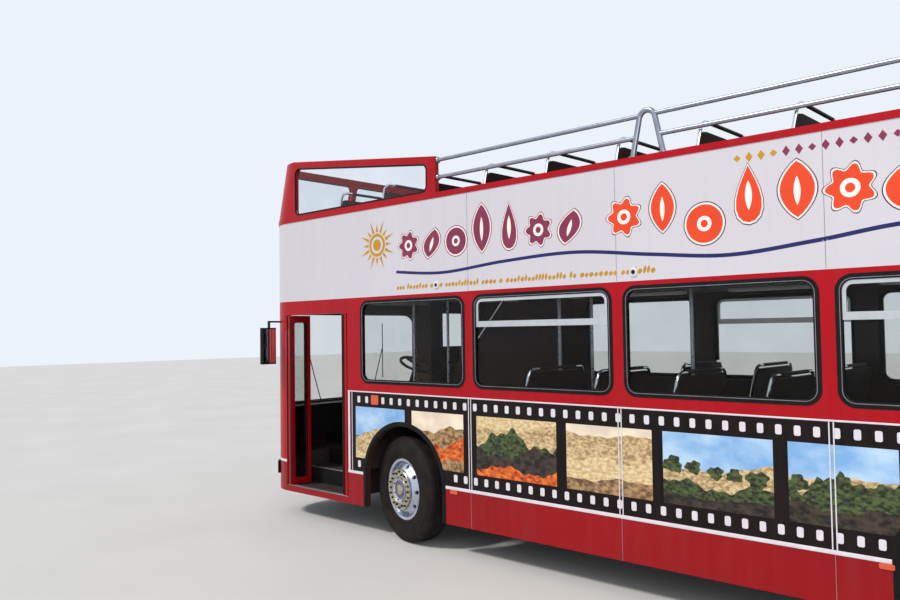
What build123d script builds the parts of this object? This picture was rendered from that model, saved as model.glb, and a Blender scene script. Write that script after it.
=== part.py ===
from build123d import *
from math import acos, atan2, cos, hypot, radians, sin, tan
import os

# Open top double decker bus with a front entrance. All sizes are in millimetres.
# X points forward, Y to the nearside (the bus's left) and Z up. The origin is on
# the road, midway along the bus and on its centreline.

# Overall sizes
BODY_LENGTH = 9440.0
BODY_WIDTH = 2500.0
BUMPER_REACH = 30.0
FRONT_OVERHANG = 2340.0
REAR_OVERHANG = 2150.0
FRONT_RADIUS = 420.0
REAR_RADIUS = 200.0
WALL = 55.0

# Heights over the road
SKIRT_Z = 283.0
SILL_Z = 350.0
FLOOR_Z = 700.0
PLATFORM_Z = 980.0
WINDOW_LOW_Z = 1553.0
WINDOW_HIGH_Z = 2411.0
DECK_Z = 2446.0
CAP_LOW_Z = 3355.0
CAP_HIGH_Z = 3408.0
RAIL_LOW_Z = 3559.0
RAIL_HIGH_Z = 3725.0

FLOOR_T = 50.0
SHEET = 15.0
RUN = 0.3
LEAF_CLEAR = 6.0

# Places along the bus
BODY_FRONT = BODY_LENGTH / 2
BODY_REAR = -BODY_LENGTH / 2
FRONT_AXLE_X = BODY_FRONT - FRONT_OVERHANG
REAR_AXLE_X = BODY_REAR + REAR_OVERHANG
CORNER_FRONT_X = BODY_FRONT - FRONT_RADIUS
CORNER_REAR_X = BODY_REAR + REAR_RADIUS
SIDE_Y = BODY_WIDTH / 2
INNER_Y = SIDE_Y - WALL
LEFT = 1
RIGHT = -1

# Windows: one pillar every bay between the first and the last, and a short last window
BAYS = 3
DOOR_POST = 217.0
PILLAR_W = 96.0
LAST_WINDOW = 985.0
PILLAR_1_X = FRONT_AXLE_X - 902.0
LAST_PILLAR_X = CORNER_REAR_X + 270.0 + LAST_WINDOW + PILLAR_W / 2
BAY = (PILLAR_1_X - LAST_PILLAR_X) / BAYS
WINDOW_R = 110.0
RUBBER_W = 42.0
RUBBER_PROUD = 4.0
RUBBER_T = 34.0
GLASS_T = 6.0
HOPPER_H = 255.0
HOPPER_BAR = 26.0
HOPPER_T = 16.0
OFF_PILLAR_X = FRONT_AXLE_X - 2010.0
OFF_PILLAR_W = 190.0
CAB_WINDOW_W = 590.0
CAB_WINDOW_FRONT_X = CORNER_FRONT_X - 70.0

# Doorway, with two pairs of folding leaves
DOOR_REAR_X = FRONT_AXLE_X + 832.0
DOOR_FRONT_X = CORNER_FRONT_X
DOOR_HIGH_Z = 2290.0
LEAF_T = 35.0
LEAF_BACK = 25.0
LEAF_FACE_Y = SIDE_Y - 12.5
LEAF_FRAME = 38.0
HINGE_R = 8.0
HINGE_PIN_R = 4.0
HINGE_END = 3.0
HINGE_FACE = 4.0
HINGE_H = 60.0
STRAP_T = 4.0
OUT_HINGE = HINGE_R + 1.0
PIVOT_R = 10.0
PIVOT_REACH = 18.0
MEETING_GAP = 10.0

# Wheels and running gear
TYRE_R = 520.0
TYRE_W = 275.0
BEAD_R = 287.0
FLANGE_R = 300.0
WHEEL_FACE_Y = SIDE_Y - 28.0
TWIN_PITCH = 320.0
REAR_FACE_Y = SIDE_Y - 45.0
KINGPIN_Y = SIDE_Y - 250.0
KINGPIN_R = 22.0
SPINDLE_R = 36.0
STEER_REST = -12.5
ARCH_R = 540.0
ARCH_Z = 606.0
BOX_HALF = 600.0
BOX_TOP_Z = ARCH_Z + ARCH_R
FRONT_BOX_Y = SIDE_Y - 625.0
REAR_BOX_Y = SIDE_Y - 690.0
RAIL_Y = SIDE_Y - 820.0
RAIL_W = 80.0
RAIL_TOP_Z = FLOOR_Z - FLOOR_T
RAIL_H = 150.0

# Upper deck
UPPER_FLOOR_Z = DECK_Z + FLOOR_T
CAP_PROUD = 6.0
CAP_W = 75.0
SCREEN_REAR_X = FRONT_AXLE_X - 502.0
SCREEN_RAKE = 165.0
SCREEN_T = 50.0
SCREEN_TOP_REAR_Z = 3758.0
SCREEN_TOP_Z = 4050.0
SCREEN_BAR = 80.0
SCREEN_POST = 120.0
TUBE_R = 18.0
HOOP_R = 22.0
STANCHION_R = 15.0
HOOPS = (FRONT_AXLE_X - 2745.0, REAR_AXLE_X - 1030.0)
HOOP_HALF = 129.0
HOOP_BEND = 68.0
HOOP_FLANGE_R = 36.0
HOOP_FLANGE_T = 8.0
HOOP_TOP_Z = 3783.0
SEAT_W = 860.0
SEAT_GAP = 35.0
SEAT_BACK_H = 600.0
SEAT_RAIL_R = 16.0
UPPER_RAIL_RISE = 70.0
LOWER_RAIL_RISE = 25.0
SEAT_CUSHION_Z = 430.0
SEAT_DEPTH = 400.0
SEAT_BACK_T = 45.0
CUSHION_T = 80.0
PEDESTAL_T = 40.0
PEDESTAL_IN = 150.0
RAIL_END_IN = 25.0
SEAT_LEAN = 12.0
UPPER_SEAT_PITCH = 695.0
UPPER_SEAT_X = FRONT_AXLE_X - 1728.0
LOWER_SEAT_PITCH = 700.0
LOWER_SEAT_X = FRONT_AXLE_X - 1493.0

# Staircase on the offside, rising to the rear
STEPS = 8
STAIR_FOOT_X = DOOR_REAR_X + 203.0
STAIR_GOING = 200.0
STAIR_IN_Y = SIDE_Y - 660.0
WELL_FRONT_X = STAIR_FOOT_X + 5.0
WELL_REAR_X = STAIR_FOOT_X - STEPS * STAIR_GOING - 20.0

# Engine bay and its lid, and the emergency door
BULKHEAD_X = REAR_AXLE_X - 1330.0
SHELF_Z = 1440.0
LID_HALF_W = SIDE_Y - 450.0
LID_LOW_Z = 460.0
LID_HIGH_Z = 1400.0
EXIT_FRONT_X = REAR_AXLE_X - 690.0
EXIT_W = 720.0
EXIT_LOW_Z = 990.0
EXIT_HIGH_Z = 2380.0

os.makedirs("parts", exist_ok=True)


def save(piece, name):
    """Label a finished sub-part and write it to its own file."""
    piece.part.label = name
    export_step(piece.part, f"parts/{name}.step")


def side_plane(side, depth=0.0):
    """Upright plane along a side, depth inside its outer face, facing inwards on the left."""
    return Plane.XZ.offset(-side * (SIDE_Y - depth))


# Plan outlines of the body, shared by the ring-shaped pieces
with BuildSketch() as plan_outer:
    Rectangle(BODY_LENGTH, BODY_WIDTH)
    fillet(plan_outer.vertices().group_by(Axis.X)[-1], FRONT_RADIUS)
    fillet(plan_outer.vertices().group_by(Axis.X)[0], REAR_RADIUS)

with BuildSketch() as plan_inner:
    add(plan_outer.sketch)
    offset(amount=-WALL, kind=Kind.INTERSECTION, mode=Mode.REPLACE)

with BuildSketch() as plan_ring:
    add(plan_outer.sketch)
    add(plan_inner.sketch, mode=Mode.SUBTRACT)

# Window places: rear edge and front edge, and whether there is a hopper
near_windows = [(PILLAR_1_X + PILLAR_W / 2, DOOR_REAR_X - DOOR_POST, False)]
for bay in range(1, BAYS + 1):
    rear = PILLAR_1_X - bay * BAY + PILLAR_W / 2
    near_windows.append((rear, rear + BAY - PILLAR_W, bay % 2 == 1))
last_front = LAST_PILLAR_X - PILLAR_W / 2
near_windows.append((last_front - LAST_WINDOW, last_front, False))

off_windows = [(CAB_WINDOW_FRONT_X - CAB_WINDOW_W, CAB_WINDOW_FRONT_X, False)]
for bay in range(BAYS):
    rear = OFF_PILLAR_X - bay * BAY + OFF_PILLAR_W / 2
    off_windows.append((rear, rear + BAY - OFF_PILLAR_W, bay == 1))

SIDE_WINDOWS = {LEFT: near_windows, RIGHT: off_windows}
WINDOW_MID_Z = (WINDOW_LOW_Z + WINDOW_HIGH_Z) / 2
WINDOW_H = WINDOW_HIGH_Z - WINDOW_LOW_Z

exit_mid_x = EXIT_FRONT_X - EXIT_W / 2
exit_mid_z = (EXIT_LOW_Z + EXIT_HIGH_Z) / 2

# Door leaf sizes, from the doorway
pivot_inset = hypot(LEAF_BACK, LEAF_T / 2) + LEAF_CLEAR
leaf_reach = (DOOR_FRONT_X - DOOR_REAR_X) / 2 - pivot_inset - MEETING_GAP / 2
LEAF_L = (leaf_reach + LEAF_BACK - 2 * HINGE_END) / 2
LEAF_MID_Y = LEAF_FACE_Y - LEAF_T / 2
LEAF_LOW_Z = SILL_Z + LEAF_CLEAR
LEAF_HIGH_Z = DOOR_HIGH_Z - LEAF_CLEAR


# Lower side panels, with their windows, wheel arches and doors cut
for side, name in ((LEFT, "side_left_lower"), (RIGHT, "side_right_lower")):
    with BuildPart() as panel:
        with BuildSketch(side_plane(side)):
            with Locations(((CORNER_FRONT_X + CORNER_REAR_X) / 2, (SKIRT_Z + DECK_Z) / 2)):
                Rectangle(CORNER_FRONT_X - CORNER_REAR_X, DECK_Z - SKIRT_Z)
            for rear_x, front_x, hopper in SIDE_WINDOWS[side]:
                with Locations(((rear_x + front_x) / 2, WINDOW_MID_Z)):
                    RectangleRounded(front_x - rear_x, WINDOW_H, WINDOW_R, mode=Mode.SUBTRACT)
            for axle_x in (FRONT_AXLE_X, REAR_AXLE_X):
                with Locations((axle_x, ARCH_Z)):
                    Circle(ARCH_R, mode=Mode.SUBTRACT)
                with Locations((axle_x, (ARCH_Z + SKIRT_Z) / 2)):
                    Rectangle(2 * ARCH_R, ARCH_Z - SKIRT_Z, mode=Mode.SUBTRACT)
            if side == LEFT:
                with Locations(((DOOR_REAR_X + DOOR_FRONT_X) / 2, (SILL_Z + DOOR_HIGH_Z) / 2)):
                    Rectangle(DOOR_FRONT_X - DOOR_REAR_X, DOOR_HIGH_Z - SILL_Z, mode=Mode.SUBTRACT)
            else:
                with Locations((exit_mid_x, exit_mid_z)):
                    RectangleRounded(EXIT_W, EXIT_HIGH_Z - EXIT_LOW_Z, 60, mode=Mode.SUBTRACT)
        extrude(amount=side * WALL)
        if side == LEFT:
            # Sockets of the leaves' pivots, in the header and the sill
            for pivot_x in (DOOR_REAR_X + pivot_inset, DOOR_FRONT_X - pivot_inset):
                for socket_z in (LEAF_HIGH_Z, LEAF_LOW_Z - PIVOT_REACH - RUN):
                    with BuildSketch(Plane.XY.offset(socket_z)):
                        with Locations((pivot_x, LEAF_MID_Y)):
                            Circle(PIVOT_R + RUN)
                    extrude(amount=PIVOT_REACH + RUN, mode=Mode.SUBTRACT)
        else:
            # Hinge pins of the emergency door, outside its front edge
            for hinge_z in (EXIT_LOW_Z + 200, EXIT_HIGH_Z - 200):
                with BuildSketch(Plane.XY.offset(hinge_z)):
                    with Locations((EXIT_FRONT_X + HINGE_END, -SIDE_Y - OUT_HINGE)):
                        Circle(HINGE_R)
                    with Locations((EXIT_FRONT_X + HINGE_END + 2 * HINGE_R, -SIDE_Y - STRAP_T / 2)):
                        Rectangle(4 * HINGE_R, STRAP_T)
                extrude(amount=-HINGE_H / 2)
                with BuildSketch(Plane.XY.offset(hinge_z)):
                    with Locations((EXIT_FRONT_X + HINGE_END, -SIDE_Y - OUT_HINGE)):
                        Circle(HINGE_PIN_R)
                extrude(amount=HINGE_H / 2)
    save(panel, name)


# Upper side panels, plain sheets between the deck and the capping
for side, name in ((LEFT, "side_left_upper"), (RIGHT, "side_right_upper")):
    with BuildPart() as panel:
        with BuildSketch(side_plane(side)):
            with Locations(((CORNER_FRONT_X + CORNER_REAR_X) / 2, (DECK_Z + CAP_LOW_Z) / 2)):
                Rectangle(CORNER_FRONT_X - CORNER_REAR_X, CAP_LOW_Z - DECK_Z)
        extrude(amount=side * WALL)
    save(panel, name)


# Curved ends of the body: each a stretch of the plan ring with its openings cut.
# Columns: name, direction, low z, high z
WINDSCREEN = (SIDE_Y - 150.0, 1240.0, 2320.0, 120.0)
DESTINATION = (620.0, 2560.0, 2900.0, 30.0)
REAR_WINDOW = (SIDE_Y - 350.0, WINDOW_LOW_Z, WINDOW_HIGH_Z - 60, WINDOW_R)
LID_OPENING = (LID_HALF_W, LID_LOW_Z, LID_HIGH_Z, 40.0)
TOW_NOTCH = (160.0, SKIRT_Z - 100, SKIRT_Z + 160, 40.0)
GRILLE = (SIDE_Y - 850.0, 640.0, 940.0, 40.0)
ENDS = (
    ("front_lower", 1, SKIRT_Z, DECK_Z, (WINDSCREEN, TOW_NOTCH, GRILLE)),
    ("front_upper", 1, DECK_Z, CAP_LOW_Z, (DESTINATION,)),
    ("rear_lower", -1, SKIRT_Z, DECK_Z, (REAR_WINDOW, LID_OPENING, TOW_NOTCH)),
    ("rear_upper", -1, DECK_Z, CAP_LOW_Z, ()),
)
for name, end, low_z, high_z, openings in ENDS:
    corner_x = CORNER_FRONT_X if end > 0 else CORNER_REAR_X
    with BuildPart() as panel:
        with BuildSketch(Plane.XY.offset(low_z)):
            add(plan_ring.sketch)
            with Locations((corner_x + end * BODY_LENGTH / 2, 0)):
                Rectangle(BODY_LENGTH, BODY_WIDTH, mode=Mode.INTERSECT)
        extrude(amount=high_z - low_z)
        for half_w, z1, z2, radius in openings:
            with BuildSketch(Plane.YZ.offset(corner_x)):
                with Locations((0, (z1 + z2) / 2)):
                    RectangleRounded(2 * half_w, z2 - z1, radius)
            extrude(amount=end * BODY_LENGTH / 2, mode=Mode.SUBTRACT)
        if name == "rear_lower":
            # Hinge pins of the engine cover, over its opening
            for hinge_y in (-LID_HALF_W + 150, LID_HALF_W - 150):
                with BuildSketch(Plane.XZ.offset(-hinge_y)):
                    with Locations((BODY_REAR - OUT_HINGE, LID_HIGH_Z + HINGE_END)):
                        Circle(HINGE_R)
                    with Locations((BODY_REAR - STRAP_T / 2, LID_HIGH_Z + HINGE_END + 2 * HINGE_R)):
                        Rectangle(STRAP_T, 4 * HINGE_R)
                extrude(amount=HINGE_H / 2)
                with BuildSketch(Plane.XZ.offset(-hinge_y)):
                    with Locations((BODY_REAR - OUT_HINGE, LID_HIGH_Z + HINGE_END)):
                        Circle(HINGE_PIN_R)
                extrude(amount=-HINGE_H / 2)
    save(panel, name)


# Radiator grille between the headlamps: a frame with level slats and three ribs behind them
GRILLE_FRAME = 22.0
GRILLE_T = 36.0
GRILLE_RIB = 12.0
GRILLE_RIBS = 3
SLATS = 9
SLAT_H = 14.0
SLAT_T = 24.0
grille_w = 2 * (GRILLE[0] - RUN)
grille_h = GRILLE[2] - GRILLE[1] - 2 * RUN
with BuildPart() as grille:
    with BuildSketch(Plane.YZ.offset(BODY_FRONT)):
        with Locations((0, (GRILLE[1] + GRILLE[2]) / 2)):
            RectangleRounded(grille_w, grille_h, GRILLE[3] - RUN)
            RectangleRounded(
                grille_w - 2 * GRILLE_FRAME,
                grille_h - 2 * GRILLE_FRAME,
                GRILLE[3] - GRILLE_FRAME,
                mode=Mode.SUBTRACT,
            )
    extrude(amount=-GRILLE_T)
    with BuildSketch(Plane.YZ.offset(BODY_FRONT)):
        with Locations((0, (GRILLE[1] + GRILLE[2]) / 2)):
            with GridLocations(0, (grille_h - GRILLE_FRAME) / (SLATS + 1), 1, SLATS):
                Rectangle(grille_w - GRILLE_FRAME, SLAT_H)
    extrude(amount=-SLAT_T)
    with BuildSketch(Plane.YZ.offset(BODY_FRONT - GRILLE_T)):
        with Locations((0, (GRILLE[1] + GRILLE[2]) / 2)):
            with GridLocations(grille_w / (GRILLE_RIBS + 1), 0, GRILLE_RIBS, 1):
                Rectangle(GRILLE_RIB, grille_h - GRILLE_FRAME)
    extrude(amount=GRILLE_T - SLAT_T + 2)
save(grille, "grille")


# Capping rail round the top of the panels
with BuildPart() as cap_rail:
    with BuildSketch(Plane.XY.offset(CAP_LOW_Z)):
        add(plan_outer.sketch)
        offset(amount=CAP_PROUD, mode=Mode.REPLACE)
    extrude(amount=CAP_HIGH_Z - CAP_LOW_Z)
    with BuildSketch(Plane.XY.offset(CAP_LOW_Z)):
        add(plan_outer.sketch)
        offset(amount=CAP_PROUD - CAP_W, kind=Kind.INTERSECTION, mode=Mode.REPLACE)
    extrude(amount=CAP_HIGH_Z - CAP_LOW_Z, mode=Mode.SUBTRACT)
save(cap_rail, "cap_rail")


def screen_plan(z, rake, inset):
    """Outline of the upper windscreen at one height: a U open to the rear."""
    front = BODY_FRONT - rake - inset
    radius = FRONT_RADIUS - inset
    half = SIDE_Y - inset
    with BuildSketch(Plane.XY.offset(z)) as outline:
        with Locations(((SCREEN_REAR_X + front) / 2, 0)):
            Rectangle(front - SCREEN_REAR_X, 2 * half)
        fillet(outline.vertices().group_by(Axis.X)[-1], radius)
    return outline.sketch


def screen_shell(outer_inset, inner_inset):
    """Leaning wall round the front of the upper deck between two insets."""
    with BuildPart() as shell:
        for inset, how in ((outer_inset, Mode.ADD), (inner_inset, Mode.SUBTRACT)):
            add(screen_plan(CAP_HIGH_Z, 0, inset))
            add(screen_plan(SCREEN_TOP_Z, SCREEN_RAKE, inset))
            loft(mode=how)
    return shell.part


# The screen's top edge climbs from its rear posts to the front
WING_TOP_X = CORNER_FRONT_X - SCREEN_RAKE


def wing_profile(inset):
    """Side view of the screen's wings, inset from its edges."""
    slope = (SCREEN_TOP_Z - SCREEN_TOP_REAR_Z) / (WING_TOP_X - SCREEN_REAR_X)
    rear_x = SCREEN_REAR_X + (SCREEN_POST if inset else 0)
    with BuildSketch() as profile:
        with BuildLine():
            Polyline(
                (rear_x, CAP_HIGH_Z + (inset / 3 if inset else 0)),
                (BODY_FRONT, CAP_HIGH_Z + (inset / 3 if inset else 0)),
                (BODY_FRONT, SCREEN_TOP_Z - inset),
                (WING_TOP_X, SCREEN_TOP_Z - inset),
                (rear_x, SCREEN_TOP_REAR_Z - inset + slope * (rear_x - SCREEN_REAR_X)),
                close=True,
            )
        make_face()
    return profile.sketch


# Openings of the screen: one in each wing, two in front
WING_GLASS_FRONT_X = CORNER_FRONT_X - SCREEN_RAKE - 20
with BuildSketch() as wing_glass:
    add(wing_profile(SCREEN_BAR))
    with Locations((WING_GLASS_FRONT_X - BODY_LENGTH / 2, CAP_HIGH_Z)):
        Rectangle(BODY_LENGTH, 2 * SCREEN_TOP_Z, mode=Mode.INTERSECT)
    fillet(wing_glass.vertices(), 60)

FRONT_GLASS_W = SIDE_Y - 240.0
with BuildSketch() as front_glass:
    with Locations(
        (-SCREEN_BAR / 2 - FRONT_GLASS_W / 2, (CAP_HIGH_Z + SCREEN_TOP_Z - SCREEN_BAR / 2) / 2),
        (SCREEN_BAR / 2 + FRONT_GLASS_W / 2, (CAP_HIGH_Z + SCREEN_TOP_Z - SCREEN_BAR / 2) / 2),
    ):
        RectangleRounded(FRONT_GLASS_W, SCREEN_TOP_Z - CAP_HIGH_Z - 1.5 * SCREEN_BAR, 60)

with BuildPart() as screen_frame:
    add(screen_shell(0, SCREEN_T))
    with BuildSketch(side_plane(LEFT)):
        add(wing_profile(0))
    extrude(amount=BODY_WIDTH, mode=Mode.INTERSECT)
    with BuildSketch(side_plane(LEFT)):
        add(wing_glass.sketch)
    extrude(amount=BODY_WIDTH, mode=Mode.SUBTRACT)
    with BuildSketch(Plane.YZ.offset(WING_TOP_X)):
        add(front_glass.sketch)
    extrude(amount=FRONT_RADIUS + SCREEN_RAKE, mode=Mode.SUBTRACT)
save(screen_frame, "screen_frame")

with BuildPart() as screen_side_glass:
    add(screen_shell(20, 20 + GLASS_T))
    with BuildSketch(side_plane(LEFT)):
        add(wing_glass.sketch)
    extrude(amount=BODY_WIDTH, mode=Mode.INTERSECT)

with BuildPart() as screen_front_glass:
    add(screen_shell(20, 20 + GLASS_T))
    with BuildSketch(Plane.YZ.offset(WING_TOP_X)):
        add(front_glass.sketch)
    extrude(amount=FRONT_RADIUS + SCREEN_RAKE, mode=Mode.INTERSECT)

with BuildPart() as screen_glass:
    add(screen_side_glass.part)
    add(screen_front_glass.part)
save(screen_glass, "screen_glass")


def side_pane(rear_x, front_x, inset):
    """Window outline in side view, inset from its opening."""
    with BuildSketch() as pane:
        with Locations(((rear_x + front_x) / 2, WINDOW_MID_Z)):
            RectangleRounded(front_x - rear_x - 2 * inset, WINDOW_H - 2 * inset, WINDOW_R - inset)
    return pane.sketch


def hopper_ring(rear_x, front_x):
    """Frame of a hinged top light: rounded above, square below."""
    with BuildSketch() as ring:
        add(side_pane(rear_x, front_x, RUBBER_W))
        add(side_pane(rear_x, front_x, RUBBER_W + HOPPER_BAR), mode=Mode.SUBTRACT)
        with Locations(((rear_x + front_x) / 2, WINDOW_HIGH_Z - RUBBER_W - HOPPER_H + HOPPER_BAR)):
            Rectangle(front_x - rear_x - 2 * RUBBER_W, 2 * HOPPER_BAR)
        with Locations(((rear_x + front_x) / 2, WINDOW_HIGH_Z - RUBBER_W - HOPPER_H / 2)):
            Rectangle(front_x - rear_x - 2 * RUBBER_W, HOPPER_H, mode=Mode.INTERSECT)
    return ring.sketch


# Rubbers, panes and hopper frames of the side windows
with BuildPart() as window_rubbers:
    for side, windows in SIDE_WINDOWS.items():
        for rear_x, front_x, hopper in windows:
            with BuildSketch(side_plane(side, -RUBBER_PROUD)):
                add(side_pane(rear_x, front_x, 0))
                add(side_pane(rear_x, front_x, RUBBER_W), mode=Mode.SUBTRACT)
            extrude(amount=side * RUBBER_T)
save(window_rubbers, "window_rubbers")

GLASS_DEPTH = 10.0
with BuildPart() as side_glass:
    for side, windows in SIDE_WINDOWS.items():
        for rear_x, front_x, hopper in windows:
            with BuildSketch(side_plane(side, GLASS_DEPTH)):
                add(side_pane(rear_x, front_x, RUBBER_W))
                if hopper:
                    add(hopper_ring(rear_x, front_x), mode=Mode.SUBTRACT)
            extrude(amount=side * GLASS_T)
save(side_glass, "side_glass")

with BuildPart() as hopper_frames:
    for side, windows in SIDE_WINDOWS.items():
        for rear_x, front_x, hopper in windows:
            if hopper:
                with BuildSketch(side_plane(side, 2)):
                    add(hopper_ring(rear_x, front_x))
                extrude(amount=side * HOPPER_T)
save(hopper_frames, "hopper_frames")


# End windows follow the plan ring, one pane for each opening.
# Columns: direction, opening, whether a bar divides it
END_GLASS = (
    (1, WINDSCREEN, True),
    (-1, REAR_WINDOW, False),
    (1, DESTINATION, False),
)
with BuildSketch() as pane_ring:
    add(plan_outer.sketch)
    offset(amount=-GLASS_DEPTH, kind=Kind.INTERSECTION, mode=Mode.REPLACE)

with BuildSketch() as pane_hole:
    add(plan_outer.sketch)
    offset(amount=-GLASS_DEPTH - GLASS_T, kind=Kind.INTERSECTION, mode=Mode.REPLACE)

DIVIDER_W = 45.0
with BuildPart() as end_glass:
    for end, opening, divided in END_GLASS:
        half_w, z1, z2, radius = opening
        corner_x = CORNER_FRONT_X if end > 0 else CORNER_REAR_X
        with BuildPart(mode=Mode.PRIVATE) as pane:
            with BuildSketch(Plane.XY.offset(z1)):
                add(pane_ring.sketch)
                add(pane_hole.sketch, mode=Mode.SUBTRACT)
                with Locations((corner_x + end * BODY_LENGTH / 2, 0)):
                    Rectangle(BODY_LENGTH, BODY_WIDTH, mode=Mode.INTERSECT)
            extrude(amount=z2 - z1)
            with BuildSketch(Plane.YZ.offset(corner_x)):
                with Locations((0, (z1 + z2) / 2)):
                    RectangleRounded(2 * half_w, z2 - z1, radius)
                if divided:
                    with Locations((0, (z1 + z2) / 2)):
                        Rectangle(DIVIDER_W, z2 - z1, mode=Mode.SUBTRACT)
            extrude(amount=end * BODY_LENGTH / 2, mode=Mode.INTERSECT)
        add(pane.part)
save(end_glass, "end_glass")

# Bar between the two halves of the windscreen
with BuildPart() as windscreen_bar:
    with BuildSketch(Plane.YZ.offset(BODY_FRONT)):
        with Locations((0, (WINDSCREEN[1] + WINDSCREEN[2]) / 2)):
            Rectangle(DIVIDER_W, WINDSCREEN[2] - WINDSCREEN[1])
    extrude(amount=-WALL)
save(windscreen_bar, "windscreen_bar")


# Lower floor: plate, entrance well, wheel boxes, rear platform, bulkhead and shelf
WELL_IN_Y = SIDE_Y - 610.0
WELL_STEP_Y = SIDE_Y - 310.0
STEP_Z = (SILL_Z + FLOOR_Z) / 2
PLATFORM_FRONT_X = REAR_AXLE_X + 720.0
BOXES = (
    (FRONT_AXLE_X, FRONT_BOX_Y, FLOOR_Z - FLOOR_T),
    (REAR_AXLE_X, REAR_BOX_Y, PLATFORM_Z - FLOOR_T),
)
with BuildPart() as lower_floor:
    with BuildSketch(Plane.XY.offset(FLOOR_Z - FLOOR_T)):
        add(plan_inner.sketch)
        with Locations((PLATFORM_FRONT_X + BODY_LENGTH / 2, 0)):
            Rectangle(BODY_LENGTH, BODY_WIDTH, mode=Mode.INTERSECT)
    extrude(amount=FLOOR_T)
    with BuildSketch(Plane.XY.offset(PLATFORM_Z - FLOOR_T)):
        with Locations(((PLATFORM_FRONT_X + BULKHEAD_X) / 2, 0)):
            Rectangle(PLATFORM_FRONT_X - BULKHEAD_X, 2 * INNER_Y)
    extrude(amount=FLOOR_T)
    with BuildSketch(Plane.XY.offset(FLOOR_Z - FLOOR_T)):
        with Locations((PLATFORM_FRONT_X - SHEET / 2, 0)):
            Rectangle(SHEET, 2 * INNER_Y)
    extrude(amount=PLATFORM_Z - FLOOR_Z + FLOOR_T)
    with BuildSketch(Plane.XY.offset(PLATFORM_Z - FLOOR_T)):
        with Locations((BULKHEAD_X + SHEET / 2, 0)):
            Rectangle(SHEET, 2 * INNER_Y)
    extrude(amount=SHELF_Z - PLATFORM_Z + FLOOR_T)
    with BuildSketch(Plane.XY.offset(SHELF_Z - SHEET)):
        add(plan_inner.sketch)
        with Locations((BULKHEAD_X - BODY_LENGTH / 2, 0)):
            Rectangle(BODY_LENGTH, BODY_WIDTH, mode=Mode.INTERSECT)
    extrude(amount=SHEET)
    # Wheel boxes, open below and towards the side panels
    for axle_x, box_y, plate_z in BOXES:
        for side in (LEFT, RIGHT):
            with BuildSketch(Plane.XY.offset(plate_z)):
                with Locations((axle_x, side * (box_y + INNER_Y) / 2)):
                    Rectangle(2 * BOX_HALF + 2 * SHEET, INNER_Y - box_y)
            extrude(amount=BOX_TOP_Z + SHEET - plate_z)
            with BuildSketch(Plane.XY.offset(plate_z)):
                with Locations((axle_x, side * (box_y + SHEET + INNER_Y) / 2)):
                    Rectangle(2 * BOX_HALF, INNER_Y - box_y - SHEET)
            extrude(amount=BOX_TOP_Z - plate_z, mode=Mode.SUBTRACT)
    # Entrance well with one step
    with BuildSketch(Plane.XY.offset(FLOOR_Z - FLOOR_T)):
        with Locations(((DOOR_REAR_X + DOOR_FRONT_X) / 2, (WELL_IN_Y + INNER_Y) / 2)):
            Rectangle(DOOR_FRONT_X - DOOR_REAR_X, INNER_Y - WELL_IN_Y)
    extrude(amount=FLOOR_T, mode=Mode.SUBTRACT)
    with BuildSketch(Plane.YZ.offset(DOOR_REAR_X)):
        with BuildLine():
            Polyline(
                (INNER_Y, SILL_Z),
                (WELL_STEP_Y, SILL_Z),
                (WELL_STEP_Y, STEP_Z),
                (WELL_IN_Y, STEP_Z),
                (WELL_IN_Y, FLOOR_Z),
                (WELL_IN_Y - SHEET, FLOOR_Z),
                (WELL_IN_Y - SHEET, STEP_Z - SHEET),
                (WELL_STEP_Y - SHEET, STEP_Z - SHEET),
                (WELL_STEP_Y - SHEET, SILL_Z - SHEET),
                (INNER_Y, SILL_Z - SHEET),
                close=True,
            )
        make_face()
    extrude(amount=DOOR_FRONT_X - DOOR_REAR_X)
    for wall_x in (DOOR_REAR_X - SHEET, DOOR_FRONT_X):
        with BuildSketch(Plane.YZ.offset(wall_x)):
            with Locations(((WELL_IN_Y - SHEET + INNER_Y) / 2, (SILL_Z - SHEET + FLOOR_Z) / 2)):
                Rectangle(INNER_Y - WELL_IN_Y + SHEET, FLOOR_Z - SILL_Z + SHEET)
        extrude(amount=SHEET)
    # Keep inside the curved front corners
    with BuildSketch(Plane.XY.offset(SKIRT_Z)):
        add(plan_inner.sketch)
    extrude(amount=DECK_Z - SKIRT_Z, mode=Mode.INTERSECT)
save(lower_floor, "lower_floor")


# Upper floor with the stairwell cut
with BuildPart() as upper_floor:
    with BuildSketch(Plane.XY.offset(DECK_Z)):
        add(plan_inner.sketch)
        with Locations(((WELL_FRONT_X + WELL_REAR_X) / 2, -(STAIR_IN_Y + INNER_Y) / 2)):
            Rectangle(WELL_FRONT_X - WELL_REAR_X, INNER_Y - STAIR_IN_Y, mode=Mode.SUBTRACT)
    extrude(amount=FLOOR_T)
save(upper_floor, "upper_floor")


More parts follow.
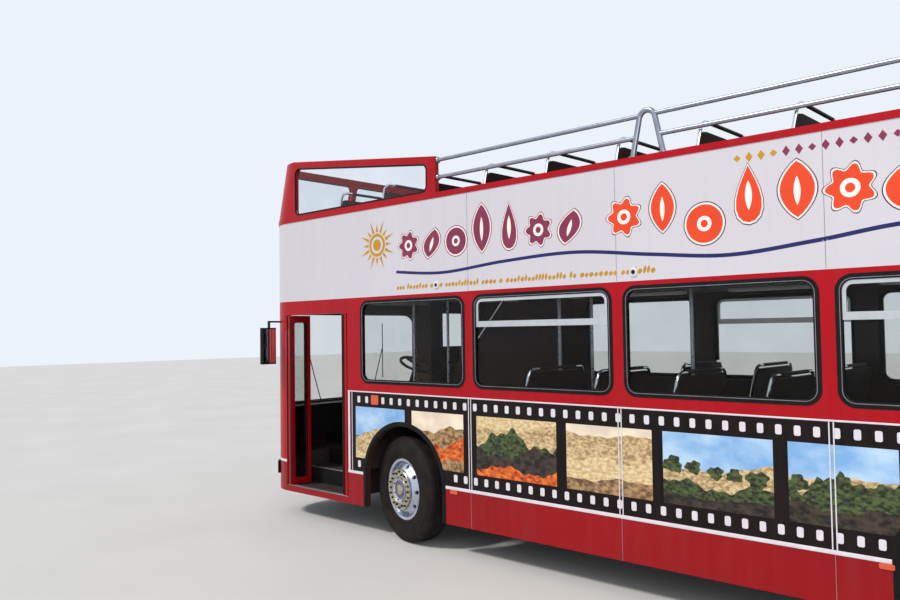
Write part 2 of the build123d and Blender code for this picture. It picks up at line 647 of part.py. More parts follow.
# Staircase: treads and risers between the offside wall and a stringer panel
RISE = (UPPER_FLOOR_Z - FLOOR_Z) / STEPS
STRINGER_T = 25.0
with BuildPart() as staircase:
    for step in range(1, STEPS):
        tread_x = STAIR_FOOT_X - step * STAIR_GOING
        tread_z = FLOOR_Z + step * RISE
        low_z = tread_z - RISE if step == 1 else tread_z - RISE - SHEET
        with BuildSketch(Plane.XZ.offset(STAIR_IN_Y)):
            with BuildLine():
                Polyline(
                    (tread_x, tread_z),
                    (tread_x + STAIR_GOING, tread_z),
                    (tread_x + STAIR_GOING, low_z),
                    (tread_x + STAIR_GOING - SHEET, low_z),
                    (tread_x + STAIR_GOING - SHEET, tread_z - SHEET),
                    (tread_x, tread_z - SHEET),
                    close=True,
                )
            make_face()
        extrude(amount=INNER_Y - STAIR_IN_Y)
    top_x = STAIR_FOOT_X - (STEPS - 1) * STAIR_GOING
    with BuildSketch(Plane.XZ.offset(STAIR_IN_Y)):
        with Locations((top_x - SHEET / 2, (DECK_Z + DECK_Z - RISE) / 2)):
            Rectangle(SHEET, RISE)
    extrude(amount=INNER_Y - STAIR_IN_Y)
    with BuildSketch(Plane.XZ.offset(STAIR_IN_Y - STRINGER_T)):
        with BuildLine():
            Polyline(
                (STAIR_FOOT_X, FLOOR_Z),
                (STAIR_FOOT_X, FLOOR_Z + 900),
                (WELL_REAR_X + 500, DECK_Z),
                (WELL_REAR_X, DECK_Z),
                (WELL_REAR_X, FLOOR_Z),
                close=True,
            )
        make_face()
    extrude(amount=STRINGER_T)
save(staircase, "staircase")


# Guard round the stairwell on the upper deck, with a handrail along its top
GUARD_H = 700.0
GUARD_T = 25.0
with BuildPart() as stair_guard:
    with BuildSketch(Plane.XY.offset(UPPER_FLOOR_Z)):
        with Locations(((top_x + WELL_FRONT_X + GUARD_T) / 2, GUARD_T / 2 - STAIR_IN_Y)):
            Rectangle(WELL_FRONT_X + GUARD_T - top_x, GUARD_T)
        with Locations((WELL_FRONT_X + GUARD_T / 2, -(STAIR_IN_Y + INNER_Y) / 2)):
            Rectangle(GUARD_T, INNER_Y - STAIR_IN_Y)
    extrude(amount=GUARD_H)
    with BuildSketch(Plane.YZ.offset(top_x)):
        with Locations((GUARD_T / 2 - STAIR_IN_Y, UPPER_FLOOR_Z + GUARD_H)):
            Circle(STANCHION_R)
    extrude(amount=WELL_FRONT_X + GUARD_T - top_x)
save(stair_guard, "stair_guard")


# Chassis frame: two cranked rails, cross-members, outriggers and tow lugs
KICK_FRONT_X = PLATFORM_FRONT_X - SHEET
KICK_REAR_X = BULKHEAD_X + SHEET + 5
KICK_UNDER = (REAR_AXLE_X + 570.0, REAR_AXLE_X - 580.0)
KICK_SLOPE = 50.0
KICK_LOW_Z = 740.0
RAIL_LOW = RAIL_TOP_Z - RAIL_H
FRAME_END = 80.0
TOW_R = 21.0
TOW_T = 25.0
TOW_EYE_L = 90.0
TOW_EYE_W = 120.0
TOW_STEM_W = 200.0
TOW_Z = SKIRT_Z + 80.0
TOW_X = BODY_FRONT - TOW_EYE_L / 2
CROSS_W = 80.0
RIGGER_H = 50.0
RIGGERS = (
    DOOR_REAR_X - 62.0,
    FRONT_AXLE_X - 980.0,
    FRONT_AXLE_X - 2080.0,
    REAR_AXLE_X + 1670.0,
    REAR_AXLE_X + 790.0,
)
END_CROSSES = (BODY_FRONT - FRAME_END - CROSS_W / 2, BULKHEAD_X - 120.0, BODY_REAR + 120.0)
with BuildPart() as chassis_frame:
    for side in (LEFT, RIGHT):
        with BuildSketch(Plane.XZ.offset(-side * RAIL_Y)):
            with BuildLine():
                Polyline(
                    (BODY_FRONT - FRAME_END, RAIL_LOW),
                    (BODY_FRONT - FRAME_END, RAIL_TOP_Z),
                    (KICK_FRONT_X, RAIL_TOP_Z),
                    (KICK_FRONT_X, PLATFORM_Z - FLOOR_T),
                    (KICK_REAR_X, PLATFORM_Z - FLOOR_T),
                    (KICK_REAR_X, RAIL_TOP_Z),
                    (BODY_REAR + FRAME_END, RAIL_TOP_Z),
                    (BODY_REAR + FRAME_END, RAIL_LOW),
                    (KICK_UNDER[1] - KICK_SLOPE, RAIL_LOW),
                    (KICK_UNDER[1], KICK_LOW_Z),
                    (KICK_UNDER[0], KICK_LOW_Z),
                    (KICK_UNDER[0] + KICK_SLOPE, RAIL_LOW),
                    close=True,
                )
            make_face()
        extrude(amount=RAIL_W / 2, both=True)
    for cross_x in END_CROSSES + RIGGERS[:-1]:
        with BuildSketch(Plane.XY.offset(RAIL_LOW)):
            with Locations((cross_x, 0)):
                Rectangle(CROSS_W, 2 * RAIL_Y)
        extrude(amount=RAIL_H if cross_x > BULKHEAD_X else RAIL_H / 2)
    for rigger_x in RIGGERS:
        with BuildSketch(Plane.XY.offset(RAIL_TOP_Z - RIGGER_H)):
            with Locations((rigger_x, 0)):
                Rectangle(CROSS_W, 2 * (WELL_IN_Y - SHEET) if rigger_x > FRONT_AXLE_X else 2 * INNER_Y)
        extrude(amount=RIGGER_H)
    for end in (1, -1):
        lug_x = end * (BODY_FRONT - FRAME_END - CROSS_W / 2)
        with BuildSketch(Plane.XY.offset(TOW_Z)):
            with Locations((lug_x, 0)):
                Rectangle(CROSS_W, TOW_STEM_W)
        extrude(amount=RAIL_LOW - TOW_Z)
        with BuildSketch(Plane.XY.offset(TOW_Z)):
            with Locations((end * TOW_X, 0)):
                Rectangle(TOW_EYE_L, TOW_EYE_W)
                Circle(TOW_R, mode=Mode.SUBTRACT)
        extrude(amount=TOW_T)
save(chassis_frame, "chassis_frame")


# Engine with its gearbox: one plain block between the rails at the rear
ENGINE_H = 700.0
ENGINE_FRONT_X = BULKHEAD_X - 60.0
ENGINE_REAR_X = BODY_REAR + 140.0
with BuildPart() as engine_block:
    with BuildSketch(Plane.XY.offset(RAIL_LOW + RAIL_H / 2)):
        with Locations(((ENGINE_FRONT_X + ENGINE_REAR_X) / 2, 0)):
            RectangleRounded(ENGINE_FRONT_X - ENGINE_REAR_X, 2 * RAIL_Y - RAIL_W, 30)
    extrude(amount=ENGINE_H)
save(engine_block, "engine_block")

# Fuel tank on the offside, hung under two outriggers
TANK_W = 560.0
TANK_H = 260.0
TANK_Y = SIDE_Y - 420.0
with BuildPart() as fuel_tank:
    with BuildSketch(Plane.YZ.offset(RIGGERS[3] - CROSS_W)):
        with Locations((-TANK_Y, RAIL_TOP_Z - RIGGER_H - TANK_H / 2)):
            RectangleRounded(TANK_W, TANK_H, 50)
    extrude(amount=RIGGERS[2] - RIGGERS[3] + 2 * CROSS_W)
save(fuel_tank, "fuel_tank")


# Front axle: dropped beam with an eye for each kingpin, and spring pads
BEAM_Z = 390.0
BEAM_H = 90.0
BEAM_T = 100.0
EYE_H = 100.0
EYE_R = 48.0
PAD_Z = 445.0
with BuildPart() as front_axle:
    with BuildSketch(Plane.YZ.offset(FRONT_AXLE_X)):
        with BuildLine():
            Polyline(
                (-KINGPIN_Y, TYRE_R - EYE_H / 2),
                (-KINGPIN_Y, TYRE_R + EYE_H / 2),
                (-KINGPIN_Y + 90, TYRE_R + EYE_H / 2),
                (-KINGPIN_Y + 280, BEAM_Z + BEAM_H / 2),
                (KINGPIN_Y - 280, BEAM_Z + BEAM_H / 2),
                (KINGPIN_Y - 90, TYRE_R + EYE_H / 2),
                (KINGPIN_Y, TYRE_R + EYE_H / 2),
                (KINGPIN_Y, TYRE_R - EYE_H / 2),
                (KINGPIN_Y - 120, TYRE_R - EYE_H / 2),
                (KINGPIN_Y - 300, BEAM_Z - BEAM_H / 2),
                (-KINGPIN_Y + 300, BEAM_Z - BEAM_H / 2),
                (-KINGPIN_Y + 120, TYRE_R - EYE_H / 2),
                close=True,
            )
        make_face()
    extrude(amount=BEAM_T / 2, both=True)
    for side in (LEFT, RIGHT):
        with BuildSketch(Plane.XY.offset(TYRE_R - EYE_H / 2)):
            with Locations((FRONT_AXLE_X, side * KINGPIN_Y)):
                Circle(EYE_R + 2)
        extrude(amount=EYE_H)
        with BuildSketch(Plane.XY.offset(TYRE_R - EYE_H)):
            with Locations((FRONT_AXLE_X, side * KINGPIN_Y)):
                Circle(KINGPIN_R + RUN)
        extrude(amount=2 * EYE_H, mode=Mode.SUBTRACT)
        with BuildSketch(Plane.XY.offset(BEAM_Z)):
            with Locations((FRONT_AXLE_X, side * RAIL_Y)):
                Rectangle(180, RAIL_W)
        extrude(amount=PAD_Z - BEAM_Z)
save(front_axle, "front_axle")


# Rear axle: straight tube with a differential housing and spring pads
AXLE_R = 75.0
REAR_STUB_R = 50.0
REAR_PAD_Z = 615.0
REAR_AXLE_END = REAR_FACE_Y - 565.0
with BuildPart() as rear_axle:
    for radius, reach in ((AXLE_R, REAR_AXLE_END), (REAR_STUB_R, REAR_FACE_Y - 60)):
        with BuildSketch(Plane.XZ.offset(-reach)):
            with Locations((REAR_AXLE_X, TYRE_R)):
                Circle(radius)
        extrude(amount=2 * reach)
    with BuildSketch(Plane.XY.offset(TYRE_R)):
        with Locations((REAR_AXLE_X, 0)):
            Circle(190)
    extrude(amount=120, both=True)
    with BuildSketch(Plane.YZ.offset(REAR_AXLE_X - 320)):
        with Locations((0, TYRE_R)):
            Circle(80)
    extrude(amount=250)
    for side in (LEFT, RIGHT):
        with BuildSketch(Plane.XY.offset(TYRE_R)):
            with Locations((REAR_AXLE_X, side * RAIL_Y)):
                Rectangle(180, RAIL_W)
        extrude(amount=REAR_PAD_Z - TYRE_R)
save(rear_axle, "rear_axle")


# Leaf springs with their hangers, from each axle's pads to the rails
# Columns: axle x, pad z, half length, rail underside z
SPRINGS = (
    (FRONT_AXLE_X, PAD_Z, 650.0, RAIL_LOW),
    (REAR_AXLE_X, REAR_PAD_Z, 520.0, KICK_LOW_Z),
)
LEAF_PACK = 26.0
LEAF_TIP = 10.0
with BuildPart() as leaf_springs:
    for axle_x, pad_z, half, rail_z in SPRINGS:
        for side in (LEFT, RIGHT):
            tip_z = rail_z - 22
            with BuildSketch(Plane.XZ.offset(-side * RAIL_Y)):
                with BuildLine():
                    Polyline(
                        (axle_x - half, tip_z),
                        (axle_x - half, tip_z - LEAF_TIP),
                        (axle_x - 90, pad_z),
                        (axle_x + 90, pad_z),
                        (axle_x + half, tip_z - LEAF_TIP),
                        (axle_x + half, tip_z),
                        (axle_x + 90, pad_z + LEAF_PACK),
                        (axle_x - 90, pad_z + LEAF_PACK),
                        close=True,
                    )
                make_face()
                for end in (-1, 1):
                    with Locations((axle_x + end * (half - 20), (tip_z - LEAF_TIP + rail_z) / 2)):
                        Rectangle(40, rail_z - tip_z + LEAF_TIP)
            extrude(amount=RAIL_W / 2 - 5, both=True)
save(leaf_springs, "leaf_springs")


def tyre_profile(centre):
    """Half section of a tyre about its axle, for a revolve."""
    half = TYRE_W / 2
    with BuildSketch(Plane.XY) as section:
        with BuildLine():
            Polyline(
                (BEAD_R + RUN, centre - half + 42),
                (BEAD_R + 75, centre - half),
                (TYRE_R - 60, centre - half),
                (TYRE_R, centre - half + 40),
                (TYRE_R, centre + half - 40),
                (TYRE_R - 60, centre + half),
                (BEAD_R + 75, centre + half),
                (BEAD_R + RUN, centre + half - 42),
                close=True,
            )
        make_face()
    return section.sketch


def rim_profile(centre):
    """Half section of a wheel rim, round its barrel."""
    half = TYRE_W / 2
    with BuildSketch(Plane.XY) as section:
        with BuildLine():
            Polyline(
                (BEAD_R, centre - half + 34),
                (FLANGE_R, centre - half + 30),
                (FLANGE_R, centre - half + 22),
                (BEAD_R - 14, centre - half + 26),
                (BEAD_R - 14, centre + half - 26),
                (FLANGE_R, centre + half - 22),
                (FLANGE_R, centre + half - 30),
                (BEAD_R, centre + half - 34),
                close=True,
            )
        make_face()
    return section.sketch


# Front wheels, modelled on the left at the axle and turned to their steered rest.
# In the profiles x is the radius and y the place across the bus.
FRONT_WHEEL_Y = WHEEL_FACE_Y - TYRE_W / 2
HUB_R = 105.0
HUB_IN_Y = KINGPIN_Y + 95.0
HUB_RING_Y = SIDE_Y - 3.0
HUB_RING_R = 200.0
DISC_R = BEAD_R - 14.0
DRUM_R = 210.0
HAND_HOLES = 10
HAND_HOLE_R = 19.0
front_hub = Location((FRONT_AXLE_X, 0, TYRE_R))


def steered(shape, side):
    """Turn a front piece about its kingpin to the steered rest position."""
    kingpin = Axis((FRONT_AXLE_X, side * KINGPIN_Y, 0), (0, 0, 1))
    return shape.rotate(kingpin, STEER_REST)


with BuildPart() as front_tyre:
    add(tyre_profile(FRONT_WHEEL_Y))
    revolve(axis=Axis.Y)

with BuildPart() as front_rim:
    add(rim_profile(FRONT_WHEEL_Y))
    with BuildSketch(Plane.XY):
        with BuildLine():
            Polyline(
                (DISC_R, WHEEL_FACE_Y - 60),
                (DISC_R - 20, WHEEL_FACE_Y - 40),
                (HUB_RING_R, HUB_RING_Y - 22),
                (HUB_RING_R, HUB_RING_Y),
                (HUB_RING_R - 70, HUB_RING_Y),
                (HUB_R, HUB_RING_Y - 14),
                (56, HUB_RING_Y - 14),
                (52, HUB_RING_Y),
                (0, HUB_RING_Y),
                (0, HUB_RING_Y - 40),
                (SPINDLE_R + RUN, HUB_RING_Y - 40),
                (SPINDLE_R + RUN, HUB_IN_Y),
                (HUB_R - 10, HUB_IN_Y),
                (HUB_R - 10, HUB_IN_Y + 14),
                (DRUM_R - 14, HUB_IN_Y + 14),
                (DRUM_R - 14, KINGPIN_Y - 15),
                (DRUM_R, KINGPIN_Y - 15),
                (DRUM_R, HUB_IN_Y + 28),
                (HUB_R, HUB_IN_Y + 28),
                (HUB_R, HUB_RING_Y - 34),
                (HUB_RING_R - 10, HUB_RING_Y - 34),
                (DISC_R - 24, WHEEL_FACE_Y - 52),
                (DISC_R - 4, WHEEL_FACE_Y - 72),
                (DISC_R, WHEEL_FACE_Y - 72),
                close=True,
            )
        make_face()
    revolve(axis=Axis.Y)
    with BuildSketch(Plane.XZ.offset(-HUB_RING_Y - 40)):
        with PolarLocations((DISC_R + HUB_RING_R) / 2 + 2, HAND_HOLES):
            Circle(HAND_HOLE_R)
    extrude(amount=110, mode=Mode.SUBTRACT)

# Front knuckles: a fork round the beam's eye with its kingpin, a spindle and an arm
LUG_T = 30.0
LUG_GAP = 5.0
ARM_L = 180.0
ARM_W = 32.0
ARM_IN = 42.0
with BuildPart() as front_knuckle:
    with BuildSketch(Plane.XY.offset(-EYE_H / 2 - LUG_GAP - LUG_T)):
        with Locations((0, KINGPIN_Y)):
            Circle(EYE_R)
        with Locations((0, KINGPIN_Y + 45)):
            Rectangle(2 * EYE_R, 90)
    extrude(amount=EYE_H + 2 * LUG_GAP + 2 * LUG_T)
    with BuildSketch(Plane.XY.offset(-EYE_H / 2 - LUG_GAP)):
        with Locations((0, KINGPIN_Y)):
            Circle(EYE_R + 2 + LUG_GAP)
        with Locations((0, KINGPIN_Y - 60)):
            Rectangle(2 * (EYE_R + 2 + LUG_GAP), 120)
    extrude(amount=EYE_H + 2 * LUG_GAP, mode=Mode.SUBTRACT)
    with BuildSketch(Plane.XY.offset(-EYE_H / 2 - LUG_GAP - LUG_T)):
        with Locations((0, KINGPIN_Y)):
            Circle(KINGPIN_R)
    extrude(amount=EYE_H + 2 * LUG_GAP + 2 * LUG_T)
    with BuildSketch(Plane.XZ.offset(-KINGPIN_Y - 88)):
        Circle(SPINDLE_R)
    extrude(amount=-(HUB_RING_Y - 48 - KINGPIN_Y - 88))
    with BuildSketch(Plane.XY.offset(-EYE_H / 2 - LUG_GAP - LUG_T)):
        with Locations((-ARM_L / 2 - 20, KINGPIN_Y - ARM_IN)):
            Rectangle(ARM_L, ARM_W)
        with Locations((-ARM_L - 20, KINGPIN_Y - ARM_IN)):
            Circle(ARM_W / 2 + 4)
    extrude(amount=LUG_T - 5)

for side, name in ((LEFT, "left"), (RIGHT, "right")):
    for piece, kind in ((front_tyre, "tyre"), (front_rim, "rim"), (front_knuckle, "knuckle")):
        with BuildPart() as placed:
            add(piece.part)
            if side == RIGHT:
                mirror(about=Plane.XZ, mode=Mode.REPLACE)
        placed.part = steered(placed.part.moved(front_hub), side)
        node = f"knuckle_{name}" if kind == "knuckle" else f"{kind}_front_{name}"
        save(placed, node)


# Rear twin wheels: two tyres in one node and the joined rims in another
REAR_OUT_Y = REAR_FACE_Y - TYRE_W / 2
REAR_IN_Y = REAR_OUT_Y - TWIN_PITCH
REAR_DISC_Y = (REAR_OUT_Y + REAR_IN_Y) / 2
with BuildPart() as rear_tyres:
    add(tyre_profile(REAR_OUT_Y))
    add(tyre_profile(REAR_IN_Y))
    revolve(axis=Axis.Y)

with BuildPart() as rear_rims:
    add(rim_profile(REAR_OUT_Y))
    add(rim_profile(REAR_IN_Y))
    with BuildSketch(Plane.XY):
        with BuildLine():
            Polyline(
                (DISC_R, REAR_DISC_Y - 60),
                (DISC_R, REAR_DISC_Y + 60),
                (DISC_R - 10, REAR_DISC_Y + 60),
                (DISC_R - 40, REAR_DISC_Y + 14),
                (HUB_R + 20, REAR_DISC_Y + 14),
                (HUB_R, REAR_FACE_Y - 60),
                (70, REAR_FACE_Y - 30),
                (0, REAR_FACE_Y - 30),
                (0, REAR_FACE_Y - 52),
                (REAR_STUB_R + RUN, REAR_FACE_Y - 52),
                (REAR_STUB_R + RUN, REAR_AXLE_END + 6),
                (DRUM_R, REAR_AXLE_END + 6),
                (DRUM_R, REAR_DISC_Y - 14),
                (DISC_R - 40, REAR_DISC_Y - 14),
                (DISC_R - 10, REAR_DISC_Y - 60),
                close=True,
            )
        make_face()
    revolve(axis=Axis.Y)
    with BuildSketch(Plane.XZ.offset(-REAR_DISC_Y - 40)):
        with PolarLocations(DISC_R - 62, HAND_HOLES):
            Circle(HAND_HOLE_R)
    extrude(amount=54, mode=Mode.SUBTRACT)

for side, name in ((LEFT, "left"), (RIGHT, "right")):
    for piece, kind in ((rear_tyres, "tyres"), (rear_rims, "rims")):
        with BuildPart() as placed:
            add(piece.part)
            if side == RIGHT:
                mirror(about=Plane.XZ, mode=Mode.REPLACE)
        placed.part = placed.part.moved(Location((REAR_AXLE_X, 0, TYRE_R)))
        save(placed, f"{kind}_rear_{name}")


# Door leaves, each built as it stands open, square to the side.
# Columns: name, pivot x, direction towards the doorway's middle
PAIRS = (
    ("rear", DOOR_REAR_X + pivot_inset, 1),
    ("front", DOOR_FRONT_X - pivot_inset, -1),
)
HINGE_ZS = (LEAF_LOW_Z + 300, LEAF_HIGH_Z - 300)
leaf_out_y = LEAF_MID_Y + LEAF_BACK
leaf_mid_z = (LEAF_LOW_Z + LEAF_HIGH_Z) / 2
for pair, pivot_x, inward in PAIRS:
    fold_x = pivot_x + inward * (LEAF_T / 2 + HINGE_FACE)
    fold_y = leaf_out_y - LEAF_L - HINGE_END
    leaves = (("outer", pivot_x), ("inner", pivot_x + inward * (LEAF_T + 2 * HINGE_FACE)))
    for leaf_kind, leaf_x in leaves:
        with BuildPart() as leaf:
            with BuildSketch(Plane.YZ.offset(leaf_x)):
                with Locations((leaf_out_y - LEAF_L / 2, leaf_mid_z)):
                    Rectangle(LEAF_L, LEAF_HIGH_Z - LEAF_LOW_Z)
                    RectangleRounded(
                        LEAF_L - 2 * LEAF_FRAME,
                        LEAF_HIGH_Z - LEAF_LOW_Z - 4 * LEAF_FRAME,
                        30,
                        mode=Mode.SUBTRACT,
                    )
            extrude(amount=LEAF_T / 2, both=True)
            for hinge_z in HINGE_ZS:
                own_low = hinge_z if leaf_kind == "inner" else hinge_z - HINGE_H
                other_low = hinge_z - HINGE_H if leaf_kind == "inner" else hinge_z
                with BuildSketch(Plane.XY.offset(other_low - LEAF_CLEAR)):
                    with Locations((fold_x, fold_y)):
                        Circle(HINGE_R + LEAF_CLEAR)
                extrude(amount=HINGE_H + 2 * LEAF_CLEAR, mode=Mode.SUBTRACT)
                with BuildSketch(Plane.XY.offset(own_low + RUN)):
                    with Locations((fold_x, fold_y)):
                        Circle(HINGE_R)
                extrude(amount=HINGE_H - 2 * RUN)
                with BuildSketch(Plane.XY.offset(hinge_z - HINGE_H + RUN)):
                    with Locations((fold_x, fold_y)):
                        Circle(HINGE_PIN_R if leaf_kind == "outer" else HINGE_PIN_R + RUN)
                extrude(
                    amount=2 * HINGE_H - 2 * RUN,
                    mode=Mode.ADD if leaf_kind == "outer" else Mode.SUBTRACT,
                )
            if leaf_kind == "outer":
                with BuildSketch(Plane.XY.offset(LEAF_LOW_Z - PIVOT_REACH)):
                    with Locations((pivot_x, LEAF_MID_Y)):
                        Circle(PIVOT_R)
                extrude(amount=PIVOT_REACH)
                with BuildSketch(Plane.XY.offset(LEAF_HIGH_Z)):
                    with Locations((pivot_x, LEAF_MID_Y)):
                        Circle(PIVOT_R)
                extrude(amount=PIVOT_REACH)
        save(leaf, f"door_{pair}_{leaf_kind}")


# Emergency door on the offside, hinged at its front edge
with BuildPart() as emergency_door:
    with BuildSketch(side_plane(RIGHT)):
        with Locations((exit_mid_x, exit_mid_z)):
            RectangleRounded(
                EXIT_W - 2 * LEAF_CLEAR, EXIT_HIGH_Z - EXIT_LOW_Z - 2 * LEAF_CLEAR, 60 - LEAF_CLEAR
            )
        with Locations((exit_mid_x, WINDOW_MID_Z - 30)):
            RectangleRounded(EXIT_W - 180, WINDOW_H - 60, WINDOW_R - 20, mode=Mode.SUBTRACT)
    extrude(amount=-WALL)
    for hinge_z in (EXIT_LOW_Z + 200, EXIT_HIGH_Z - 200):
        with BuildSketch(Plane.XY.offset(hinge_z + RUN)):
            with Locations((EXIT_FRONT_X + HINGE_END, -SIDE_Y - OUT_HINGE)):
                Circle(HINGE_R)
            with Locations((EXIT_FRONT_X + HINGE_END - 2 * HINGE_R, -SIDE_Y - STRAP_T / 2)):
                Rectangle(4 * HINGE_R, STRAP_T)
            with Locations((EXIT_FRONT_X + HINGE_END, -SIDE_Y - OUT_HINGE)):
                Circle(HINGE_PIN_R + RUN, mode=Mode.SUBTRACT)
        extrude(amount=HINGE_H / 2)
save(emergency_door, "emergency_door")


# Engine cover at the rear with its louvres, hinged along its top edge
LOUVRE_ROWS = 7
LOUVRE_PITCH = 42.0
LOUVRE_L = 540.0
LOUVRE_H = 16.0
LOUVRES_DOWN = 330.0
with BuildPart() as engine_cover:
    with BuildSketch(Plane.YZ.offset(BODY_REAR)):
        with Locations((0, (LID_LOW_Z + LID_HIGH_Z) / 2)):
            RectangleRounded(
                2 * (LID_HALF_W - LEAF_CLEAR), LID_HIGH_Z - LID_LOW_Z - 2 * LEAF_CLEAR, 34
            )
        with Locations((0, LID_HIGH_Z - LOUVRES_DOWN)):
            with GridLocations(LOUVRE_L + 90, LOUVRE_PITCH, 2, LOUVRE_ROWS):
                RectangleRounded(LOUVRE_L, LOUVRE_H, LOUVRE_H / 3, mode=Mode.SUBTRACT)
    extrude(amount=WALL)
    for hinge_y in (-LID_HALF_W + 150, LID_HALF_W - 150):
        with BuildSketch(Plane.XZ.offset(-hinge_y - RUN)):
            with Locations((BODY_REAR - OUT_HINGE, LID_HIGH_Z + HINGE_END)):
                Circle(HINGE_R)
            with Locations((BODY_REAR - STRAP_T / 2, LID_HIGH_Z + HINGE_END - 2 * HINGE_R)):
                Rectangle(STRAP_T, 4 * HINGE_R)
            with Locations((BODY_REAR - OUT_HINGE, LID_HIGH_Z + HINGE_END)):
                Circle(HINGE_PIN_R + RUN, mode=Mode.SUBTRACT)
        extrude(amount=-HINGE_H / 2)
save(engine_cover, "engine_cover")


def bench(back_x, side, floor_z, rail_rise, foot_z=0.0):
    """One double seat: cushion, leaning back, pedestal and grab rail, its foot raised by foot_z."""
    centre_y = side * (INNER_Y - SEAT_GAP - SEAT_W / 2)
    lean = sin(radians(SEAT_LEAN)) * SEAT_BACK_H
    cushion_z = floor_z + SEAT_CUSHION_Z
    back_top = cushion_z + SEAT_BACK_H * cos(radians(SEAT_LEAN))
    foot_x = back_x + lean
    rail_x = back_x - SEAT_BACK_T / 2
    with BuildPart(mode=Mode.PRIVATE) as seat:
        with BuildSketch(Plane.XZ.offset(-centre_y)) as outline:
            with BuildLine():
                Polyline(
                    (foot_x + SEAT_DEPTH, cushion_z),
                    (foot_x + SEAT_DEPTH, cushion_z - CUSHION_T),
                    (foot_x - SEAT_BACK_T, cushion_z - CUSHION_T),
                    (foot_x - SEAT_BACK_T, cushion_z),
                    (back_x - SEAT_BACK_T, back_top),
                    (back_x, back_top),
                    (foot_x, cushion_z),
                    close=True,
                )
            make_face()
            fillet(outline.vertices().group_by(Axis.Y)[-1], SEAT_BACK_T / 2 - 3)
            fillet(outline.vertices().group_by(Axis.X)[-1], CUSHION_T / 3)
        extrude(amount=SEAT_W / 2, both=True)
        with BuildSketch(Plane.XY.offset(floor_z + foot_z)):
            with Locations((foot_x + SEAT_DEPTH / 2 - 20, centre_y - side * PEDESTAL_IN)):
                Rectangle(SEAT_DEPTH - 100, PEDESTAL_T)
        extrude(amount=SEAT_CUSHION_Z - CUSHION_T - foot_z)
        with BuildSketch(Plane.XZ.offset(-centre_y)):
            with Locations((rail_x, back_top + rail_rise)):
                Circle(SEAT_RAIL_R)
        extrude(amount=SEAT_W / 2, both=True)
        with BuildSketch(Plane.XY.offset(back_top - 2 * SEAT_RAIL_R)):
            with Locations(
                (rail_x, centre_y - SEAT_W / 2 + RAIL_END_IN),
                (rail_x, centre_y + SEAT_W / 2 - RAIL_END_IN),
            ):
                Rectangle(SEAT_RAIL_R, SEAT_RAIL_R)
        extrude(amount=rail_rise + 2 * SEAT_RAIL_R)
    return seat.part


# Seats of the upper deck. Rows over the stairwell have no offside seat.
with BuildPart() as seats_upper:
    for row in range(-4, 7):
        back_x = UPPER_SEAT_X - row * UPPER_SEAT_PITCH
        add(bench(back_x, LEFT, UPPER_FLOOR_Z, UPPER_RAIL_RISE))
        if back_x + 600 < WELL_REAR_X or back_x > WELL_FRONT_X:
            add(bench(back_x, RIGHT, UPPER_FLOOR_Z, UPPER_RAIL_RISE))
save(seats_upper, "seats_upper")

# Seats of the lower deck: on the main floor, then on the rear platform
with BuildPart() as seats_lower:
    for row in range(int((LOWER_SEAT_X - PLATFORM_FRONT_X) // LOWER_SEAT_PITCH) + 1):
        back_x = LOWER_SEAT_X - row * LOWER_SEAT_PITCH
        add(bench(back_x, LEFT, FLOOR_Z, LOWER_RAIL_RISE))
        if row > 0:
            add(bench(back_x, RIGHT, FLOOR_Z, LOWER_RAIL_RISE))
    for row in range(3):
        back_x = BULKHEAD_X + SHEET + SEAT_BACK_T + row * LOWER_SEAT_PITCH
        foot_z = BOX_TOP_Z + SHEET - PLATFORM_Z if row > 0 else 0
        add(bench(back_x, LEFT, PLATFORM_Z, LOWER_RAIL_RISE, foot_z))
        if back_x > EXIT_FRONT_X:
            add(bench(back_x, RIGHT, PLATFORM_Z, LOWER_RAIL_RISE, foot_z))
save(seats_lower, "seats_lower")


# Guard rails over the capping: two tubes a side, carried by the screen's rear posts
# and by hoops with their feet on the capping, and joined across the rear
RAIL_TUBE_Y = SIDE_Y - CAP_W / 2
RAIL_REAR_X = BODY_REAR + CAP_W / 2
STANCHION_Y = 600.0
# The hoops' legs lean together and run on smoothly into the bend at the top
bend_z = HOOP_TOP_Z - HOOP_R - HOOP_BEND
foot_z = CAP_HIGH_Z + HOOP_FLANGE_T
bend_h = bend_z - foot_z
leg_lean = acos(HOOP_BEND / hypot(bend_h, HOOP_HALF)) - atan2(bend_h, HOOP_HALF)
apex_z = bend_z + HOOP_BEND / sin(leg_lean)


def hoop_reach(rail_z):
    """Distance from a hoop's middle to its tube's middle at a rail's height."""
    if rail_z > bend_z:
        return (HOOP_BEND**2 - (rail_z - bend_z) ** 2) ** 0.5
    return HOOP_HALF - (rail_z - foot_z) * tan(leg_lean)


